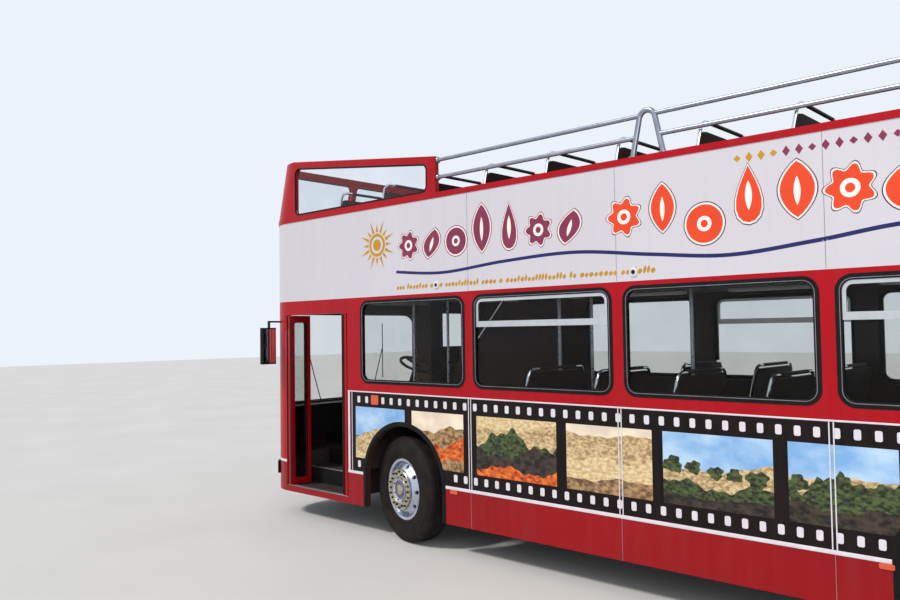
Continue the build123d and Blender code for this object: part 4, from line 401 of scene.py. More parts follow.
class Shape:
    """A mesh in the making, to which plates, blocks, tubes, turned forms and pads are added."""

    def __init__(self):
        self.bm = bmesh.new()

    def rings(self, rings, loop=False):
        """Skin between rings of points. A ring of one point is a tip."""
        made = [[self.bm.verts.new(point) for point in ring] for ring in rings]
        for a, b in zip(made, made[1:] + made[:1] if loop else made[1:]):
            count = max(len(a), len(b))
            for i in range(count):
                j = (i + 1) % count
                near = [a[0]] if len(a) == 1 else [a[i], a[j]]
                far = [b[0]] if len(b) == 1 else [b[j], b[i]]
                self.bm.faces.new(near + far)
        for ring in () if loop else (made[0], made[-1]):
            if len(ring) > 2:
                self.bm.faces.new(ring)

    def sweep(self, stations, section, loop=False):
        """A section of (a, b) points carried along stations of (place, a's way, b's way)."""
        self.rings([[p + a * s + b * t for s, t in section] for p, a, b in stations], loop)

    def tube(self, points, radius, sides=10, loop=False):
        """A round tube along points."""
        points = [Vector(point) for point in points]
        count = len(points)
        stations = []
        side = None
        for i, point in enumerate(points):
            before = points[i - 1] if i or loop else point
            after = points[(i + 1) % count] if i < count - 1 or loop else point
            tangent = (after - before).normalized()
            side = tangent.orthogonal() if side is None else side
            side = (side - tangent * side.dot(tangent)).normalized()
            stations.append((point, side, tangent.cross(side)))
        self.sweep(stations, circle(0, 0, radius, sides), loop)

    def lathe(self, profile, place, steps=48, loop=False):
        """A form turned about the local Y axis, from (radius, y) points."""
        self.rings([[place @ Vector((x, y, z)) for x, z in circle(0, 0, radius, steps)]
                    if radius > 1e-6 else [place @ Vector((0, y, 0))]
                    for radius, y in profile], loop)

    def plate(self, outline, place, low, high, holes=()):
        """A plate of (u, v) points, with any holes, between two heights over its place."""
        loops = [list(outline)] + [list(hole) for hole in holes]
        flat = [[Vector((u, v, 0)) for u, v in loop] for loop in loops]
        bottom, top = [[self.bm.verts.new(place(u, v, out)) for loop in loops for u, v in loop]
                       for out in (low, high)]
        for triangle in tessellate_polygon(flat):
            self.bm.faces.new([top[i] for i in triangle])
            self.bm.faces.new([bottom[i] for i in reversed(triangle)])
        start = 0
        for loop in loops:
            for i in range(start, start + len(loop)):
                j = start + (i - start + 1) % len(loop)
                self.bm.faces.new((bottom[i], bottom[j], top[j], top[i]))
            start += len(loop)

    def slab(self, low, high, rounding=0.002):
        """A block with rounded edges."""
        low, high = Vector(low), Vector(high)
        size = high - low
        block = bmesh.new()
        place = Matrix.Translation((low + high) / 2) @ Matrix.Diagonal((*size, 1))
        bmesh.ops.create_cube(block, size=1, matrix=place)
        bmesh.ops.bevel(block, geom=block.edges[:], offset=min(rounding, min(size) * 0.45),
                        segments=2, affect="EDGES", profile=0.5)
        mesh = bpy.data.meshes.new("block")
        block.to_mesh(mesh)
        block.free()
        self.bm.from_mesh(mesh)
        bpy.data.meshes.remove(mesh)

    def pad(self, place, size, crown=0.012, across=14, along=12):
        """A stuffed pad, crowned on top, its sides drawn in between the corners."""
        width, depth, height = size
        made = {}

        def vertex(i, j, up):
            """Vertex of a row and column. The two faces share those on the rim."""
            key = (i, j, 0 if i in (0, across) or j in (0, along) else up)
            if key not in made:
                s, t = 2 * i / across - 1, 2 * j / along - 1
                a, b = s * (1.5 - 0.5 * s * s), t * (1.5 - 0.5 * t * t)
                rise = ((1 - abs(a) ** 7) * (1 - abs(b) ** 7)) ** 0.5 * height / 2
                if up > 0:
                    rise += crown * (1 - a * a) * (1 - b * b)
                x = width / 2 * a * (1 - 0.03 * (1 - b * b))
                y = depth / 2 * b * (1 - 0.03 * (1 - a * a))
                made[key] = self.bm.verts.new(place @ Vector((x, y, up * rise)))
            return made[key]

        for up in (1, -1):
            for i in range(across):
                for j in range(along):
                    corners = (i, j), (i + 1, j), (i + 1, j + 1), (i, j + 1)
                    self.bm.faces.new([vertex(*corner, up) for corner in corners])

    def make(self, name, look, slot, body="body", replaces=(), sharp=35.0):
        """Finish the mesh as a piece that rides on a body."""
        bmesh.ops.recalc_face_normals(self.bm, faces=self.bm.faces[:])
        mesh = bpy.data.meshes.new(name)
        self.bm.to_mesh(mesh)
        self.bm.free()
        mesh.polygons.foreach_set("use_smooth", [True] * len(mesh.polygons))
        mesh.set_sharp_from_angle(angle=radians(sharp))
        mesh.materials.append(MAT[look])
        piece = put(name, mesh)
        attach(piece, body)
        if replaces:
            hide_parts(*replaces)
        return piece


def bend(points, radius, steps=5, loop=False):
    """Points of a path with its corners rounded by arcs."""
    points = [Vector(point) for point in points]
    count = len(points)
    path = []
    for i, corner in enumerate(points):
        if not loop and i in (0, count - 1):
            path.append(corner)
            continue
        to_last = points[i - 1] - corner
        to_next = points[(i + 1) % count] - corner
        half = to_last.angle(to_next) / 2
        cut = min(radius / tan(half), 0.49 * to_last.length, 0.49 * to_next.length)
        middle = (to_last.normalized() + to_next.normalized()).normalized()
        centre = corner + middle * cut * tan(half) / sin(half)
        start = corner + to_last.normalized() * cut - centre
        end = corner + to_next.normalized() * cut - centre
        whole = start.angle(end)
        for step in range(steps + 1):
            t = step / steps
            arm = start * sin((1 - t) * whole) + end * sin(t * whole)
            path.append(centre + arm / sin(whole))
    return path


def rounded(low_u, high_u, low_v, high_v, radius, steps=5):
    """Outline of a rounded rectangle, as (u, v) points."""
    corners = [(low_u, low_v, 0), (high_u, low_v, 0), (high_u, high_v, 0), (low_u, high_v, 0)]
    return [(p.x, p.y) for p in bend(corners, radius, steps, loop=True)]


def inset(opening, by):
    """A rounded opening made smaller on all sides."""
    low_u, high_u, low_v, high_v, radius = opening
    return low_u + by, high_u - by, low_v + by, high_v - by, radius - by


def on_side(side, proud=0.0):
    """Place of (x, z, out) on a side panel."""
    return lambda u, v, out: Vector((u, side * (SIDE_Y + proud + out), v))


def facing(x, end):
    """Place of (y, z, out) on a flat front or rear face at x."""
    return lambda u, v, out: Vector((x + end * out, u, v))


def corner_path(end, side, from_x, to_y=0.0, steps=12):
    """Stations from a place on a side, round a corner of the body, to a place on its end."""
    radius, middle_x, end_x = ((FRONT_RADIUS, FRONT_CORNER_X, BODY_FRONT) if end > 0
                               else (REAR_RADIUS, REAR_CORNER_X, BODY_REAR))
    middle = Vector((middle_x, side * (SIDE_Y - radius), 0))
    stations = [(Vector((from_x, side * SIDE_Y, 0)), Vector((0, side, 0)), UP)]
    for step in range(steps + 1):
        turn = pi / 2 * step / steps
        out = Vector((end * sin(turn), side * cos(turn), 0))
        stations.append((middle + out * radius, out, UP))
    return stations + [(Vector((end_x, to_y, 0)), Vector((end, 0, 0)), UP)]


# Mouldings, arch lips and seams of the lower panels

def strip_section(z, half, proud):
    """Section of a half-round moulding, as (out, z) points."""
    flat = half * 0.56
    return [(-0.0005, z - half), (proud * 0.7, z - half), (proud, z - flat), (proud, z + flat),
            (proud * 0.7, z + half), (-0.0005, z + half)]


def make_mouldings():
    """White waist and skirt mouldings, with their gaps at the doorway, arches, exit and lid."""
    waist = strip_section(WAIST_Z, 0.006, 0.004)
    skirt = strip_section(LINE_Z, 0.014, 0.005)
    shape = Shape()
    shape.sweep(corner_path(-1, LEFT, DOOR_REAR_X - 0.007)
                + corner_path(-1, RIGHT, EXIT_REAR_X - 0.012)[-2::-1], waist)
    shape.sweep(corner_path(1, LEFT, DOOR_FRONT_X + 0.006)
                + corner_path(1, RIGHT, FRONT_AXLE_X + LIP_GAP)[-2::-1], skirt)
    straights = [(RIGHT, EXIT_FRONT_X + 0.012, FRONT_CORNER_X, waist),
                 (LEFT, FRONT_AXLE_X + LIP_GAP, DOOR_REAR_X - 0.007, skirt)]
    for side in SIDES:
        shape.sweep(corner_path(-1, side, REAR_AXLE_X - LIP_GAP, side * 0.83), skirt)
        straights.append((side, REAR_AXLE_X + LIP_GAP, FRONT_AXLE_X - LIP_GAP, skirt))
    for side, rear_x, front_x, section in straights:
        out = Vector((0, side, 0))
        shape.sweep([(Vector((x, side * SIDE_Y, 0)), out, UP) for x in (rear_x, front_x)], section)
    # White strip up the doorway's rear jamb, a thin one behind it, and pairs at the pillars
    shape.plate(rounded(DOOR_REAR_X - 0.04, DOOR_REAR_X - 0.01, FILM_LOW_Z, FILM_HIGH_Z, 0.004,
                        2), on_side(LEFT), -0.0005, 0.003)
    pairs = [(side, pillar_x + step) for side, pillars in ((LEFT, PILLARS), (RIGHT, PILLARS[:2]))
             for pillar_x in pillars for step in (-0.014, 0.014)]
    for side, x in [(LEFT, THIN_STRIP_X)] + pairs:
        shape.plate(rounded(x - 0.004, x + 0.004, FILM_LOW_Z, FILM_HIGH_Z, 0.002, 1),
                    on_side(side), -0.0005, 0.0042)
    shape.make("mouldings", "white_trim", "white_paint")


def make_arch_lips():
    """Black rubber lips round the four wheel arches."""
    shape = Shape()
    width = LIP_R - ARCH_R
    section = [(-0.0005, 0.0), (0.006, 0.0), (0.0065, 0.012), (0.006, 0.034), (0.0035, width),
               (-0.0005, width)]
    arch = [(0, SKIRT_Z)] + [(pi * k / 48, ARCH_Z) for k in range(49)] + [(pi, SKIRT_Z)]
    for side in SIDES:
        for axle_x in AXLES:
            stations = []
            for turn, z in arch:
                radial = Vector((cos(turn), 0, sin(turn)))
                spot = Vector((axle_x, side * SIDE_Y, z)) + radial * ARCH_R
                stations.append((spot, Vector((0, side, 0)), radial))
            shape.sweep(stations, section)
    shape.make("arch_lips", "gasket", "rubber")


# Rivets: pitch and count along a joint, and distance to each side of it
RIVET_PITCH = 0.075
RIVET_COUNT = 12
RIVET_DX = 0.014


def make_seams():
    """Joints between the upper panels with their rivets, and joints in the skirt."""
    seams, rivets = Shape(), Shape()
    lines = ((0.002, DECK_Z + 0.004, CAP_LOW_Z - 0.004, 0.0006),
             (0.0015, SKIRT_Z + 0.002, LINE_Z - 0.016, 0.0005))
    for side in SIDES:
        rivet = [(0.0034, -side * 0.0004), (0.003, side * 0.001), (0.0, side * 0.0016)]
        for pillar_x in PILLARS:
            for half, low_z, high_z, proud in lines:
                seams.plate(rounded(pillar_x - half, pillar_x + half, low_z, high_z, 0.001, 1),
                            on_side(side), -0.0005, proud)
            for step in range(RIVET_COUNT):
                z = DECK_Z + 0.04 + step * RIVET_PITCH
                for dx in (-RIVET_DX, RIVET_DX):
                    place = Matrix.Translation((pillar_x + dx, side * SIDE_Y, z))
                    rivets.lathe(rivet, place, 8)
    seams.make("panel_seams", "seam", "trim_dark")
    rivets.make("panel_rivets", "white_side", "white_paint")


make_mouldings()
make_arch_lips()
make_seams()


# Film band with perforations and plain landscapes between them

PICTURE_LOW_Z = 0.78
PICTURE_HIGH_Z = 1.31
PICTURE_H = PICTURE_HIGH_Z - PICTURE_LOW_Z
# Layers of each kind of landscape: ink, level and swing as shares of the height, waves, phase
LANDSCAPES = {
    "bay": (("sky", 1.0, 0.0, 0, 0), ("sea", 0.44, 0.0, 0, 0), ("stone", 0.5, 0.13, 0.55, 0.4),
            ("sand", 0.12, 0.05, 0.8, 2.0)),
    "ember": (("dusk", 1.0, 0.0, 0, 0), ("rock", 0.7, 0.1, 0.8, 1.0),
              ("ember", 0.48, 0.16, 0.7, 2.2), ("rock", 0.16, 0.07, 1.3, 0.2)),
    "grove": (("sky", 1.0, 0.0, 0, 0), ("stone", 0.58, 0.05, 0.9, 0.1),
              ("leaves", 0.52, 0.2, 1.5, 2.6), ("shade", 0.22, 0.08, 1.1, 1.0)),
    "canyon": (("sand", 1.0, 0.0, 0, 0), ("stone", 0.84, 0.1, 0.6, 2.0),
               ("leaves", 0.66, 0.22, 1.2, 3.4), ("shade", 0.44, 0.16, 1.0, 0.6),
               ("ember", 0.16, 0.08, 1.4, 2.4)),
    "quarry": (("dusk", 1.0, 0.0, 0, 0), ("stone", 0.86, 0.05, 1.0, 0.7),
               ("sand", 0.5, 0.1, 1.6, 2.1), ("rock", 0.2, 0.06, 0.8, 0.4)),
    "headland": (("sky", 1.0, 0.0, 0, 0), ("stone", 0.56, 0.12, 0.5, 2.2),
                 ("leaves", 0.3, 0.1, 1.4, 0.6), ("shade", 0.14, 0.04, 0.9, 1.2)),
}
WOODED = ("grove", "headland")
# Pictures: front edge, rear edge, kind
PICTURES = (
    (3.08, 2.34, "bay"), (2.24, 1.56, "ember"), (1.4, 0.52, "canyon"),
    (0.42, -0.36, "quarry"), (-0.45, -1.27, "headland"), (-1.37, -2.04, "grove"),
    (-2.14, -3.06, "bay"), (-3.33, -4.3, "headland"),
)
# Perforations: pitch, place of one of them, rows, half width and half height
PERFORATION_PITCH = 0.124
PERFORATION_X = 1.54
PERFORATION_ROWS = (1.385, 0.717)
PERFORATION_HALF = (0.022, 0.034)


def low_edge(x, low_z=0.0):
    """Height of the film's lower edge, which the wheel arches cut."""
    for axle_x in AXLES:
        reach = abs(x - axle_x)
        if reach < LIP_R:
            low_z = max(low_z, ARCH_Z + sqrt(LIP_R**2 - reach**2))
    return low_z


def band(rear_x, front_x, low_z, height, step=0.02):
    """Outline between the film's lower edge and a height that depends on x."""
    count = max(2, round((front_x - rear_x) / step))
    xs = [rear_x + (front_x - rear_x) * i / count for i in range(count + 1)]
    ends = [axle_x + way * LIP_R for axle_x in AXLES for way in (-1, 1)]
    xs = sorted(xs + [x for x in ends if rear_x + 0.001 < x < front_x - 0.001])
    low = [(x, low_edge(x, low_z)) for x in xs]
    return low + [(x, max(height(x), z + 0.001)) for x, z in reversed(low)]


def crown(u, v, radius, phase, steps=26):
    """Uneven outline of a tree's crown, as (u, v) points."""
    outline = []
    for turn in turns(steps):
        reach = radius * (1 + 0.16 * sin(3 * turn + phase)
                          + 0.11 * sin(7 * turn + 2 * phase))
        outline.append((u + reach * cos(turn), v + 0.8 * reach * sin(turn)))
    return outline


def make_film(side, name):
    """The film band of one side."""
    rear_x = -4.45 if side == LEFT else EXIT_FRONT_X + 0.03
    front_x = DOOR_REAR_X - 0.045
    place = on_side(side)
    film, holes = Shape(), Shape()
    film.plate(band(rear_x, front_x, FILM_LOW_Z + 0.001, lambda x: FILM_HIGH_Z), place, *PRINT)
    film.make("film_band_" + name, "film", "trim_dark")
    first = ceil((rear_x + 0.035 - PERFORATION_X) / PERFORATION_PITCH)
    last = floor((front_x - 0.015 - PERFORATION_X) / PERFORATION_PITCH)
    half_x, half_z = PERFORATION_HALF
    for k in range(first, last + 1):
        x = PERFORATION_X + k * PERFORATION_PITCH
        arch_z = max(low_edge(x - 0.03), low_edge(x + 0.03))
        for z in PERFORATION_ROWS:
            if abs(x - THIN_STRIP_X) > 0.028 and arch_z < z - 0.05:
                holes.plate(rounded(x - half_x, x + half_x, z - half_z, z + half_z, 0.011, 2),
                            place, 0.0006, 0.0014)
    holes.make("perforations_" + name, "white_trim", "white_paint")
    layers = defaultdict(Shape)
    for front, rear, kind in PICTURES:
        rear = max(rear, rear_x + 0.05)
        if rear > front - 0.1:
            continue
        for depth, (look, level, swing, waves, phase) in enumerate(LANDSCAPES[kind]):

            def ridge(x):
                t = (x - rear) / (front - rear) * 2 * pi * waves + phase
                rough = (0.6 * sin(t) + 0.25 * sin(2.7 * t + 1.1)
                         + 0.15 * sin(6.1 * t + 0.5))
                return PICTURE_LOW_Z + PICTURE_H * (level + swing * rough)

            layers[look].plate(band(rear, front, PICTURE_LOW_Z, ridge), place,
                               0.0006, 0.0013 + 0.0004 * depth)
        # Round tree crowns on the skyline, each at a height of its own
        for k in range(5 if kind in WOODED else 0):
            x = rear + (front - rear) * (0.12 + 0.19 * k + 0.04 * random.random())
            z = PICTURE_LOW_Z + PICTURE_H * (0.44 + 0.12 * random.random())
            if low_edge(x) < z - 0.12:
                size = 0.055 + 0.035 * random.random()
                layers["leaves"].plate(crown(x, z, size, 6 * random.random()), place,
                                       0.0006, 0.00215 + 0.00006 * k)
    for look, shape in layers.items():
        shape.make(f"print_{look}_{name}", look, "white_paint")


for side, name in NAMED_SIDES:
    make_film(side, name)


# Livery of the upper panels: plain repeating ornaments, a sun, a wave and dotted lines

LEAN = -0.35
# Motifs of the two rows: kind, width, height, height of the lower end
MAROON_ROW = (
    ("rosette", 0.27, 0.27, 2.795), ("lean", 0.2, 0.26, 2.795), ("ring", 0.25, 0.25, 2.795),
    ("petal", 0.2, 0.43, 2.795), ("drop", 0.22, 0.4, 2.795), ("rosette", 0.27, 0.27, 2.795),
    ("lean", 0.2, 0.26, 2.795),
)
ORANGE_ROW = (
    ("rosette", 0.29, 0.29, 2.805), ("petal", 0.19, 0.36, 2.805), ("ring", 0.28, 0.28, 2.69),
    ("drop", 0.25, 0.4, 2.805), ("petal", 0.23, 0.38, 2.805), ("rosette", 0.31, 0.31, 2.805),
    ("lean", 0.24, 0.29, 2.805), ("ring", 0.28, 0.28, 2.805), ("rosette", 0.3, 0.3, 2.805),
    ("petal", 0.21, 0.37, 2.805), ("lean", 0.24, 0.29, 2.805), ("drop", 0.24, 0.38, 2.805),
    ("ring", 0.28, 0.28, 2.69),
)
# Rows: motifs, first place, pitch, looks of the line and of the filling
ROWS = ((MAROON_ROW, 2.255, 0.318, "maroon", "maroon"),
        (ORANGE_ROW, -0.165, 0.33, "plum", "orange"))
SUN = (2.72, 2.973)
WAVE = ((2.436, 2.679), (1.8, 2.636), (1.05, 2.69), (0.3, 2.711), (-0.4, 2.64),
        (-1.0, 2.59), (-1.6, 2.64), (-2.2, 2.705), (-2.9, 2.66), (-3.6, 2.6),
        (-4.3, 2.66))
WAVE_HALF = 0.014
# Small gold dashes: front and rear ends of their line, lower edge, sizes and gaps to draw from
DASH_FRONT_X = 2.43
DASH_REAR_X = -0.42
DASH_Z = 2.497
DASHES = ((0.034, 0.04), (0.04, 0.044), (0.026, 0.062))
DASH_GAPS = (0.006, 0.006, 0.008, 0.036)
LOZENGE_Z = 3.262


def petal(x, z, width, height, lean=0.0, steps=14):
    """Outline of a leaf-like motif, pointed at both ends."""
    right = [(width / 2 * sin(pi * k / steps) ** 0.8, height * (k / steps - 0.5))
             for k in range(1, steps)]
    outline = [(0, -height / 2), *right, (0, height / 2), *((-u, v) for u, v in reversed(right))]
    return [(x + u + lean * v, z + v) for u, v in outline]


def drop(x, z, width, height, steps=18):
    """Outline of a drop motif: round below and pointed above."""
    return [(x + width / 2 * sin(turn) * sin(turn / 2) ** 1.2,
             z + height / 2 * cos(turn)) for turn in turns(steps)]


def rosette(x, z, radius, lobes=7, steps=60):
    """Outline of a flower with round lobes."""
    outline = []
    for turn in turns(steps):
        reach = radius * (0.86 + 0.14 * cos(lobes * turn))
        outline.append((x + reach * cos(turn), z + reach * sin(turn)))
    return outline


def motif(layers, kind, x, z, width, height, line, filling, place):
    """One motif: an outer line, a pale line inside it, its filling and an inlay."""
    lean = LEAN if kind == "lean" else 0.0
    for grow, look, low, high in ((0.044, line, -0.0004, 0.0006), (0.028, "pale", 0.0004, 0.001),
                                  (0.0, filling, 0.0008, 0.0014)):
        wide, tall = width + grow, height + grow
        if kind == "ring":
            outline = circle(x, z, wide / 2, 36)
        elif kind == "rosette":
            outline = rosette(x, z, wide / 2)
        elif kind == "drop":
            outline = drop(x, z, wide, tall)
        else:
            outline = petal(x, z, wide, tall, lean)
        layers[look].plate(outline, place, low, high)
    if kind in ("ring", "rosette"):
        layers["pale"].plate(circle(x, z, width * 0.2, 24), place, 0.0012, 0.0018)
        layers[filling].plate(circle(x, z, width * 0.1, 20), place, 0.0016, 0.0022)
    else:
        layers["pale"].plate(petal(x, z - 0.01, width * 0.2, height * 0.52, lean), place,
                             0.0012, 0.0018)


def wave_line(points, steps=12):
    """Smooth line through points, each a pair of values."""
    points = [Vector(point) for point in points]
    padded = points[:1] + points + points[-1:]
    line = []
    for p0, p1, p2, p3 in zip(padded, padded[1:], padded[2:], padded[3:]):
        for k in range(steps):
            t = k / steps
            line.append(0.5 * (2 * p1 + (p2 - p0) * t + (2 * p0 - 5 * p1 + 4 * p2 - p3) * t**2
                               + (3 * p1 - p0 - 3 * p2 + p3) * t**3))
    return line + points[-1:]


def make_livery(side, name):
    """Ornaments of one upper panel."""
    place = on_side(side)
    layers = defaultdict(Shape)
    for row, first_x, pitch, *looks in ROWS:
        for k, (kind, width, height, low_z) in enumerate(row):
            motif(layers, kind, first_x - pitch * k, low_z + height / 2, width, height, *looks,
                  place)
    # Sun with tapering rays in front of the rows
    gold = layers["gold"]
    gold.plate(circle(*SUN, 0.12, 36), place, *PRINT, [circle(*SUN, 0.088, 36)])
    gold.plate(circle(*SUN, 0.06, 28), place, *PRINT)
    for k, turn in enumerate(turns(16)):
        ray = [(SUN[0] + reach * cos(turn + step), SUN[1] + reach * sin(turn + step))
               for reach, step in ((0.135, -0.135), (0.27 if k % 2 else 0.215, 0), (0.135, 0.135))]
        gold.plate(ray, place, *PRINT)
    # Wave under the rows
    line = wave_line(WAVE)
    above, below = [], []
    for i, p in enumerate(line):
        ahead = line[min(i + 1, len(line) - 1)] - line[max(i - 1, 0)]
        normal = Vector((-ahead.y, ahead.x)).normalized()
        above.append(tuple(p + normal * WAVE_HALF))
        below.append(tuple(p - normal * WAVE_HALF))
    layers["navy"].plate(above + below[::-1], place, *PRINT)
    # Dotted line of small gold dashes, and a row of small lozenges higher up
    x = DASH_FRONT_X
    while x > DASH_REAR_X:
        width, height = random.choice(DASHES)
        gold.plate(petal(x - width / 2, DASH_Z + height / 2, width, height, -0.2, 8), place, *PRINT)
        x -= width + random.choice(DASH_GAPS)
    for k in range(38):
        x = -1.08 - 0.085 * k
        half = 0.036 if k % 3 else 0.025
        layers["gold" if k < 4 else "maroon"].plate(
            [(x - 0.026, LOZENGE_Z), (x, LOZENGE_Z - half), (x + 0.026, LOZENGE_Z),
             (x, LOZENGE_Z + half)], place, -0.0004, 0.0009)
    for look, shape in layers.items():
        shape.make(f"livery_{look}_{name}", look, "white_paint")


for side, name in NAMED_SIDES:
    make_livery(side, name)


# Glazing: bright beads in the rubbers, gaskets of the curved screens, panes of the doors

# Wing glasses of the upper screen: ends, low edge, and height of the top edge at the rear post
WING_ENDS = (1.998, 4.115)
WING_LOW_Z = 3.4347
WING_POST_Z = 3.678
WING_SLOPE = (SCREEN_TOP_Z - 3.758) / (4.135 - SCREEN_REAR_X)
# Outline and opening of a door leaf; and the leaves: node, body, middle, and whether a leaf
# carries the rubber of the closing edge
LEAF_LOW_Y, LEAF_HIGH_Y, LEAF_LOW_Z, LEAF_HIGH_Z = 0.984, 1.245, 0.356, 2.284
LEAF_OPENING = (LEAF_LOW_Y + 0.036, LEAF_HIGH_Y - 0.036, LEAF_LOW_Z + 0.074, LEAF_HIGH_Z - 0.074,
                0.032)
LEAVES = (
    ("door_rear_outer", "leaf_rear_outer", 3.2485, False),
    ("door_rear_inner", "leaf_rear_inner", 3.2915, True),
    ("door_front_inner", "leaf_front_inner", 4.2205, True),
    ("door_front_outer", "leaf_front_outer", 4.2635, False),
)


def make_beads():
    """Thin bright beads in the side windows' rubbers."""
    shape = Shape()
    section = [(0, -0.003), (0.0022, -0.002), (0.0022, 0.002), (0, 0.003)]
    for side, windows in WINDOWS.items():
        for rear_x, front_x in windows:
            opening = (rear_x, front_x, WINDOW_LOW_Z, WINDOW_HIGH_Z, WINDOW_R)
            outline = rounded(*inset(opening, 0.029), 7)
            stations = []
            for last, (u, v), ahead in zip(outline[-1:] + outline, outline,
                                           outline[1:] + outline[:1]):
                across = Vector((last[1] - ahead[1], 0, ahead[0] - last[0])).normalized()
                spot = Vector((u, side * (SIDE_Y + 0.0035), v))
                stations.append((spot, Vector((0, side, 0)), across))
            shape.sweep(stations, section, loop=True)
    shape.make("window_beads", "bead", "rubber")


def front_x(y, front=BODY_FRONT):
    """Front surface of the body at a place across it."""
    reach = max(0.0, abs(y) - (SIDE_Y - FRONT_RADIUS))
    return front - FRONT_RADIUS + sqrt(max(0.0, FRONT_RADIUS**2 - reach**2))


def screen_x(y, z):
    """Front surface of the leaning upper screen."""
    return front_x(y, BODY_FRONT - SCREEN_RAKE * (z - CAP_HIGH_Z) / (SCREEN_TOP_Z - CAP_HIGH_Z))


def dense(outline, step=0.05):
    """Outline with points added along its straight stretches."""
    points = []
    for (u, v), (next_u, next_v) in zip(outline, outline[1:] + outline[:1]):
        count = max(1, int(hypot(next_u - u, next_v - v) / step))
        points += [(u + (next_u - u) * k / count, v + (next_v - v) * k / count)
                   for k in range(count)]
    return points


def make_gaskets():
    """Rubber round the wing glasses, the upper screen, the windscreen and the end windows."""
    shape = Shape()
    low = [(x, WING_LOW_Z, 0) for x in WING_ENDS]
    high = [(x, WING_POST_Z + WING_SLOPE * (x - SCREEN_REAR_X), 0) for x in reversed(WING_ENDS)]
    wing = bend(low + high, 0.06, 6, loop=True)
    pane = dense(rounded(*SCREEN_PANE))
    for side in SIDES:
        shape.tube([(p.x, side * (SIDE_Y - 0.004), p.y) for p in wing], 0.01, 8, loop=True)
        shape.tube([(screen_x(y, z) - 0.002, side * y, z) for y, z in pane], 0.01, 8, loop=True)
    for outline, surface, radius in (
            (dense(rounded(*WINDSCREEN, 6)), lambda y: front_x(y) - 0.002, 0.014),
            (rounded(*REAR_WINDOW, 6), lambda y: BODY_REAR + 0.002, 0.014),
            (rounded(*BLIND, 4), lambda y: BODY_FRONT - 0.002, 0.011)):
        shape.tube([(surface(y), y, z) for y, z in outline], radius, 8, loop=True)
    shape.make("screen_gaskets", "gasket", "rubber")
    # Emergency door's window, which swings with it
    ring, pane = Shape(), Shape()
    ring.tube([(x, -SIDE_Y + 0.002, z) for x, z in rounded(*EXIT_WINDOW, 6)], 0.013, 8, loop=True)
    ring.make("exit_gasket", "gasket", "rubber", "emergency_door")
    pane.plate(rounded(*inset(EXIT_WINDOW, 0.001), 6), on_side(RIGHT, -0.016), 0.0, 0.005)
    pane.make("exit_pane", "glass", "glass", "emergency_door")


def make_door_panes():
    """Glass and rubber edges of the four door leaves."""
    for node_name, body, middle_x, leading in LEAVES:
        pane, edges = Shape(), Shape()
        pane.plate(rounded(*inset(LEAF_OPENING, 0.003), 4), facing(middle_x, 1), -0.0025, 0.0025)
        pane.make(node_name + "_pane", "glass", "glass", body)
        for out in (-0.008, 0.008):
            edges.tube([(middle_x + out, u, v) for u, v in rounded(*LEAF_OPENING, 4)], 0.006, 6,
                       loop=True)
        if leading:
            edges.slab((middle_x - 0.0165, LEAF_HIGH_Y - 0.001, LEAF_LOW_Z + 0.01),
                       (middle_x + 0.0165, LEAF_HIGH_Y + 0.0035, LEAF_HIGH_Z - 0.01))
        edges.make(node_name + "_rubber", "gasket", "rubber", body)


make_beads()
make_gaskets()
make_door_panes()


# Wheels: grooved tyres, hub faces and nuts

# Half of the tyre's section: radius, and distance from its middle
TYRE_HALF = (
    (0.288, 0.093), (0.293, 0.108), (0.306, 0.121), (0.315, 0.13), (0.321, 0.131),
    (0.326, 0.128), (0.34, 0.1335), (0.362, 0.1368), (0.39, 0.1374), (0.42, 0.1366),
    (0.44, 0.1342), (0.445, 0.1368), (0.453, 0.1366), (0.458, 0.1325), (0.474, 0.13),
    (0.488, 0.122), (0.5, 0.115), (0.511, 0.106), (0.5165, 0.096), (0.518, 0.086),
)
GROOVES = (0.06, 0.02)
# Front hub: place of its face, and its rings, as (radius, distance from the face)
HUB_FACE_Y = 1.247
HUB_FLANGE = ((0.1995, -0.002), (0.1995, 0.003), (0.196, 0.006), (0.19, 0.004), (0.142, 0.004),
              (0.136, 0.006), (0.132, 0.003), (0.132, -0.002))
HUB_RING = ((0.098, -0.015), (0.096, -0.004), (0.09, -0.003), (0.088, -0.015))
HUB_BAND = ((0.086, -0.015), (0.084, -0.009), (0.06, -0.008), (0.058, -0.015))
HUB_CAP = ((0.053, -0.004), (0.05, 0.004), (0.03, 0.008), (0.0, 0.009))
VALVE = ((0.255, 1.17, 0), (0.25, 1.19, 0), (0.235, 1.222, 0))
# Circles of nuts: distance out, radius, count, first step, size, length
FRONT_NUTS = ((0.003, 0.158, 10, 0.0, 0.0105, 0.014), (0.003, 0.176, 10, 0.5, 0.0105, 0.014),
              (-0.013, 0.116, 8, 0.5, 0.008, 0.01))
REAR_NUTS = ((0.9205, 0.148, 10, 0.0, 0.016, 0.026), (1.1735, 0.052, 8, 0.5, 0.008, 0.01))


def wheel_place(axle_x, side):
    """Place of a wheel whose profiles give y as on the left side, straight ahead."""
    flip = Matrix.Diagonal((1, side, 1, 1))
    if axle_x == REAR_AXLE_X:
        return Matrix.Translation((REAR_AXLE_X, 0, AXLE_Z)) @ flip
    pin_y = side * KINGPIN_Y
    return (Matrix.Translation((FRONT_AXLE_X, pin_y, AXLE_Z))
            @ Matrix.Rotation(STEER_REST, 4, "Z") @ Matrix.Translation((0, -pin_y, 0)) @ flip)


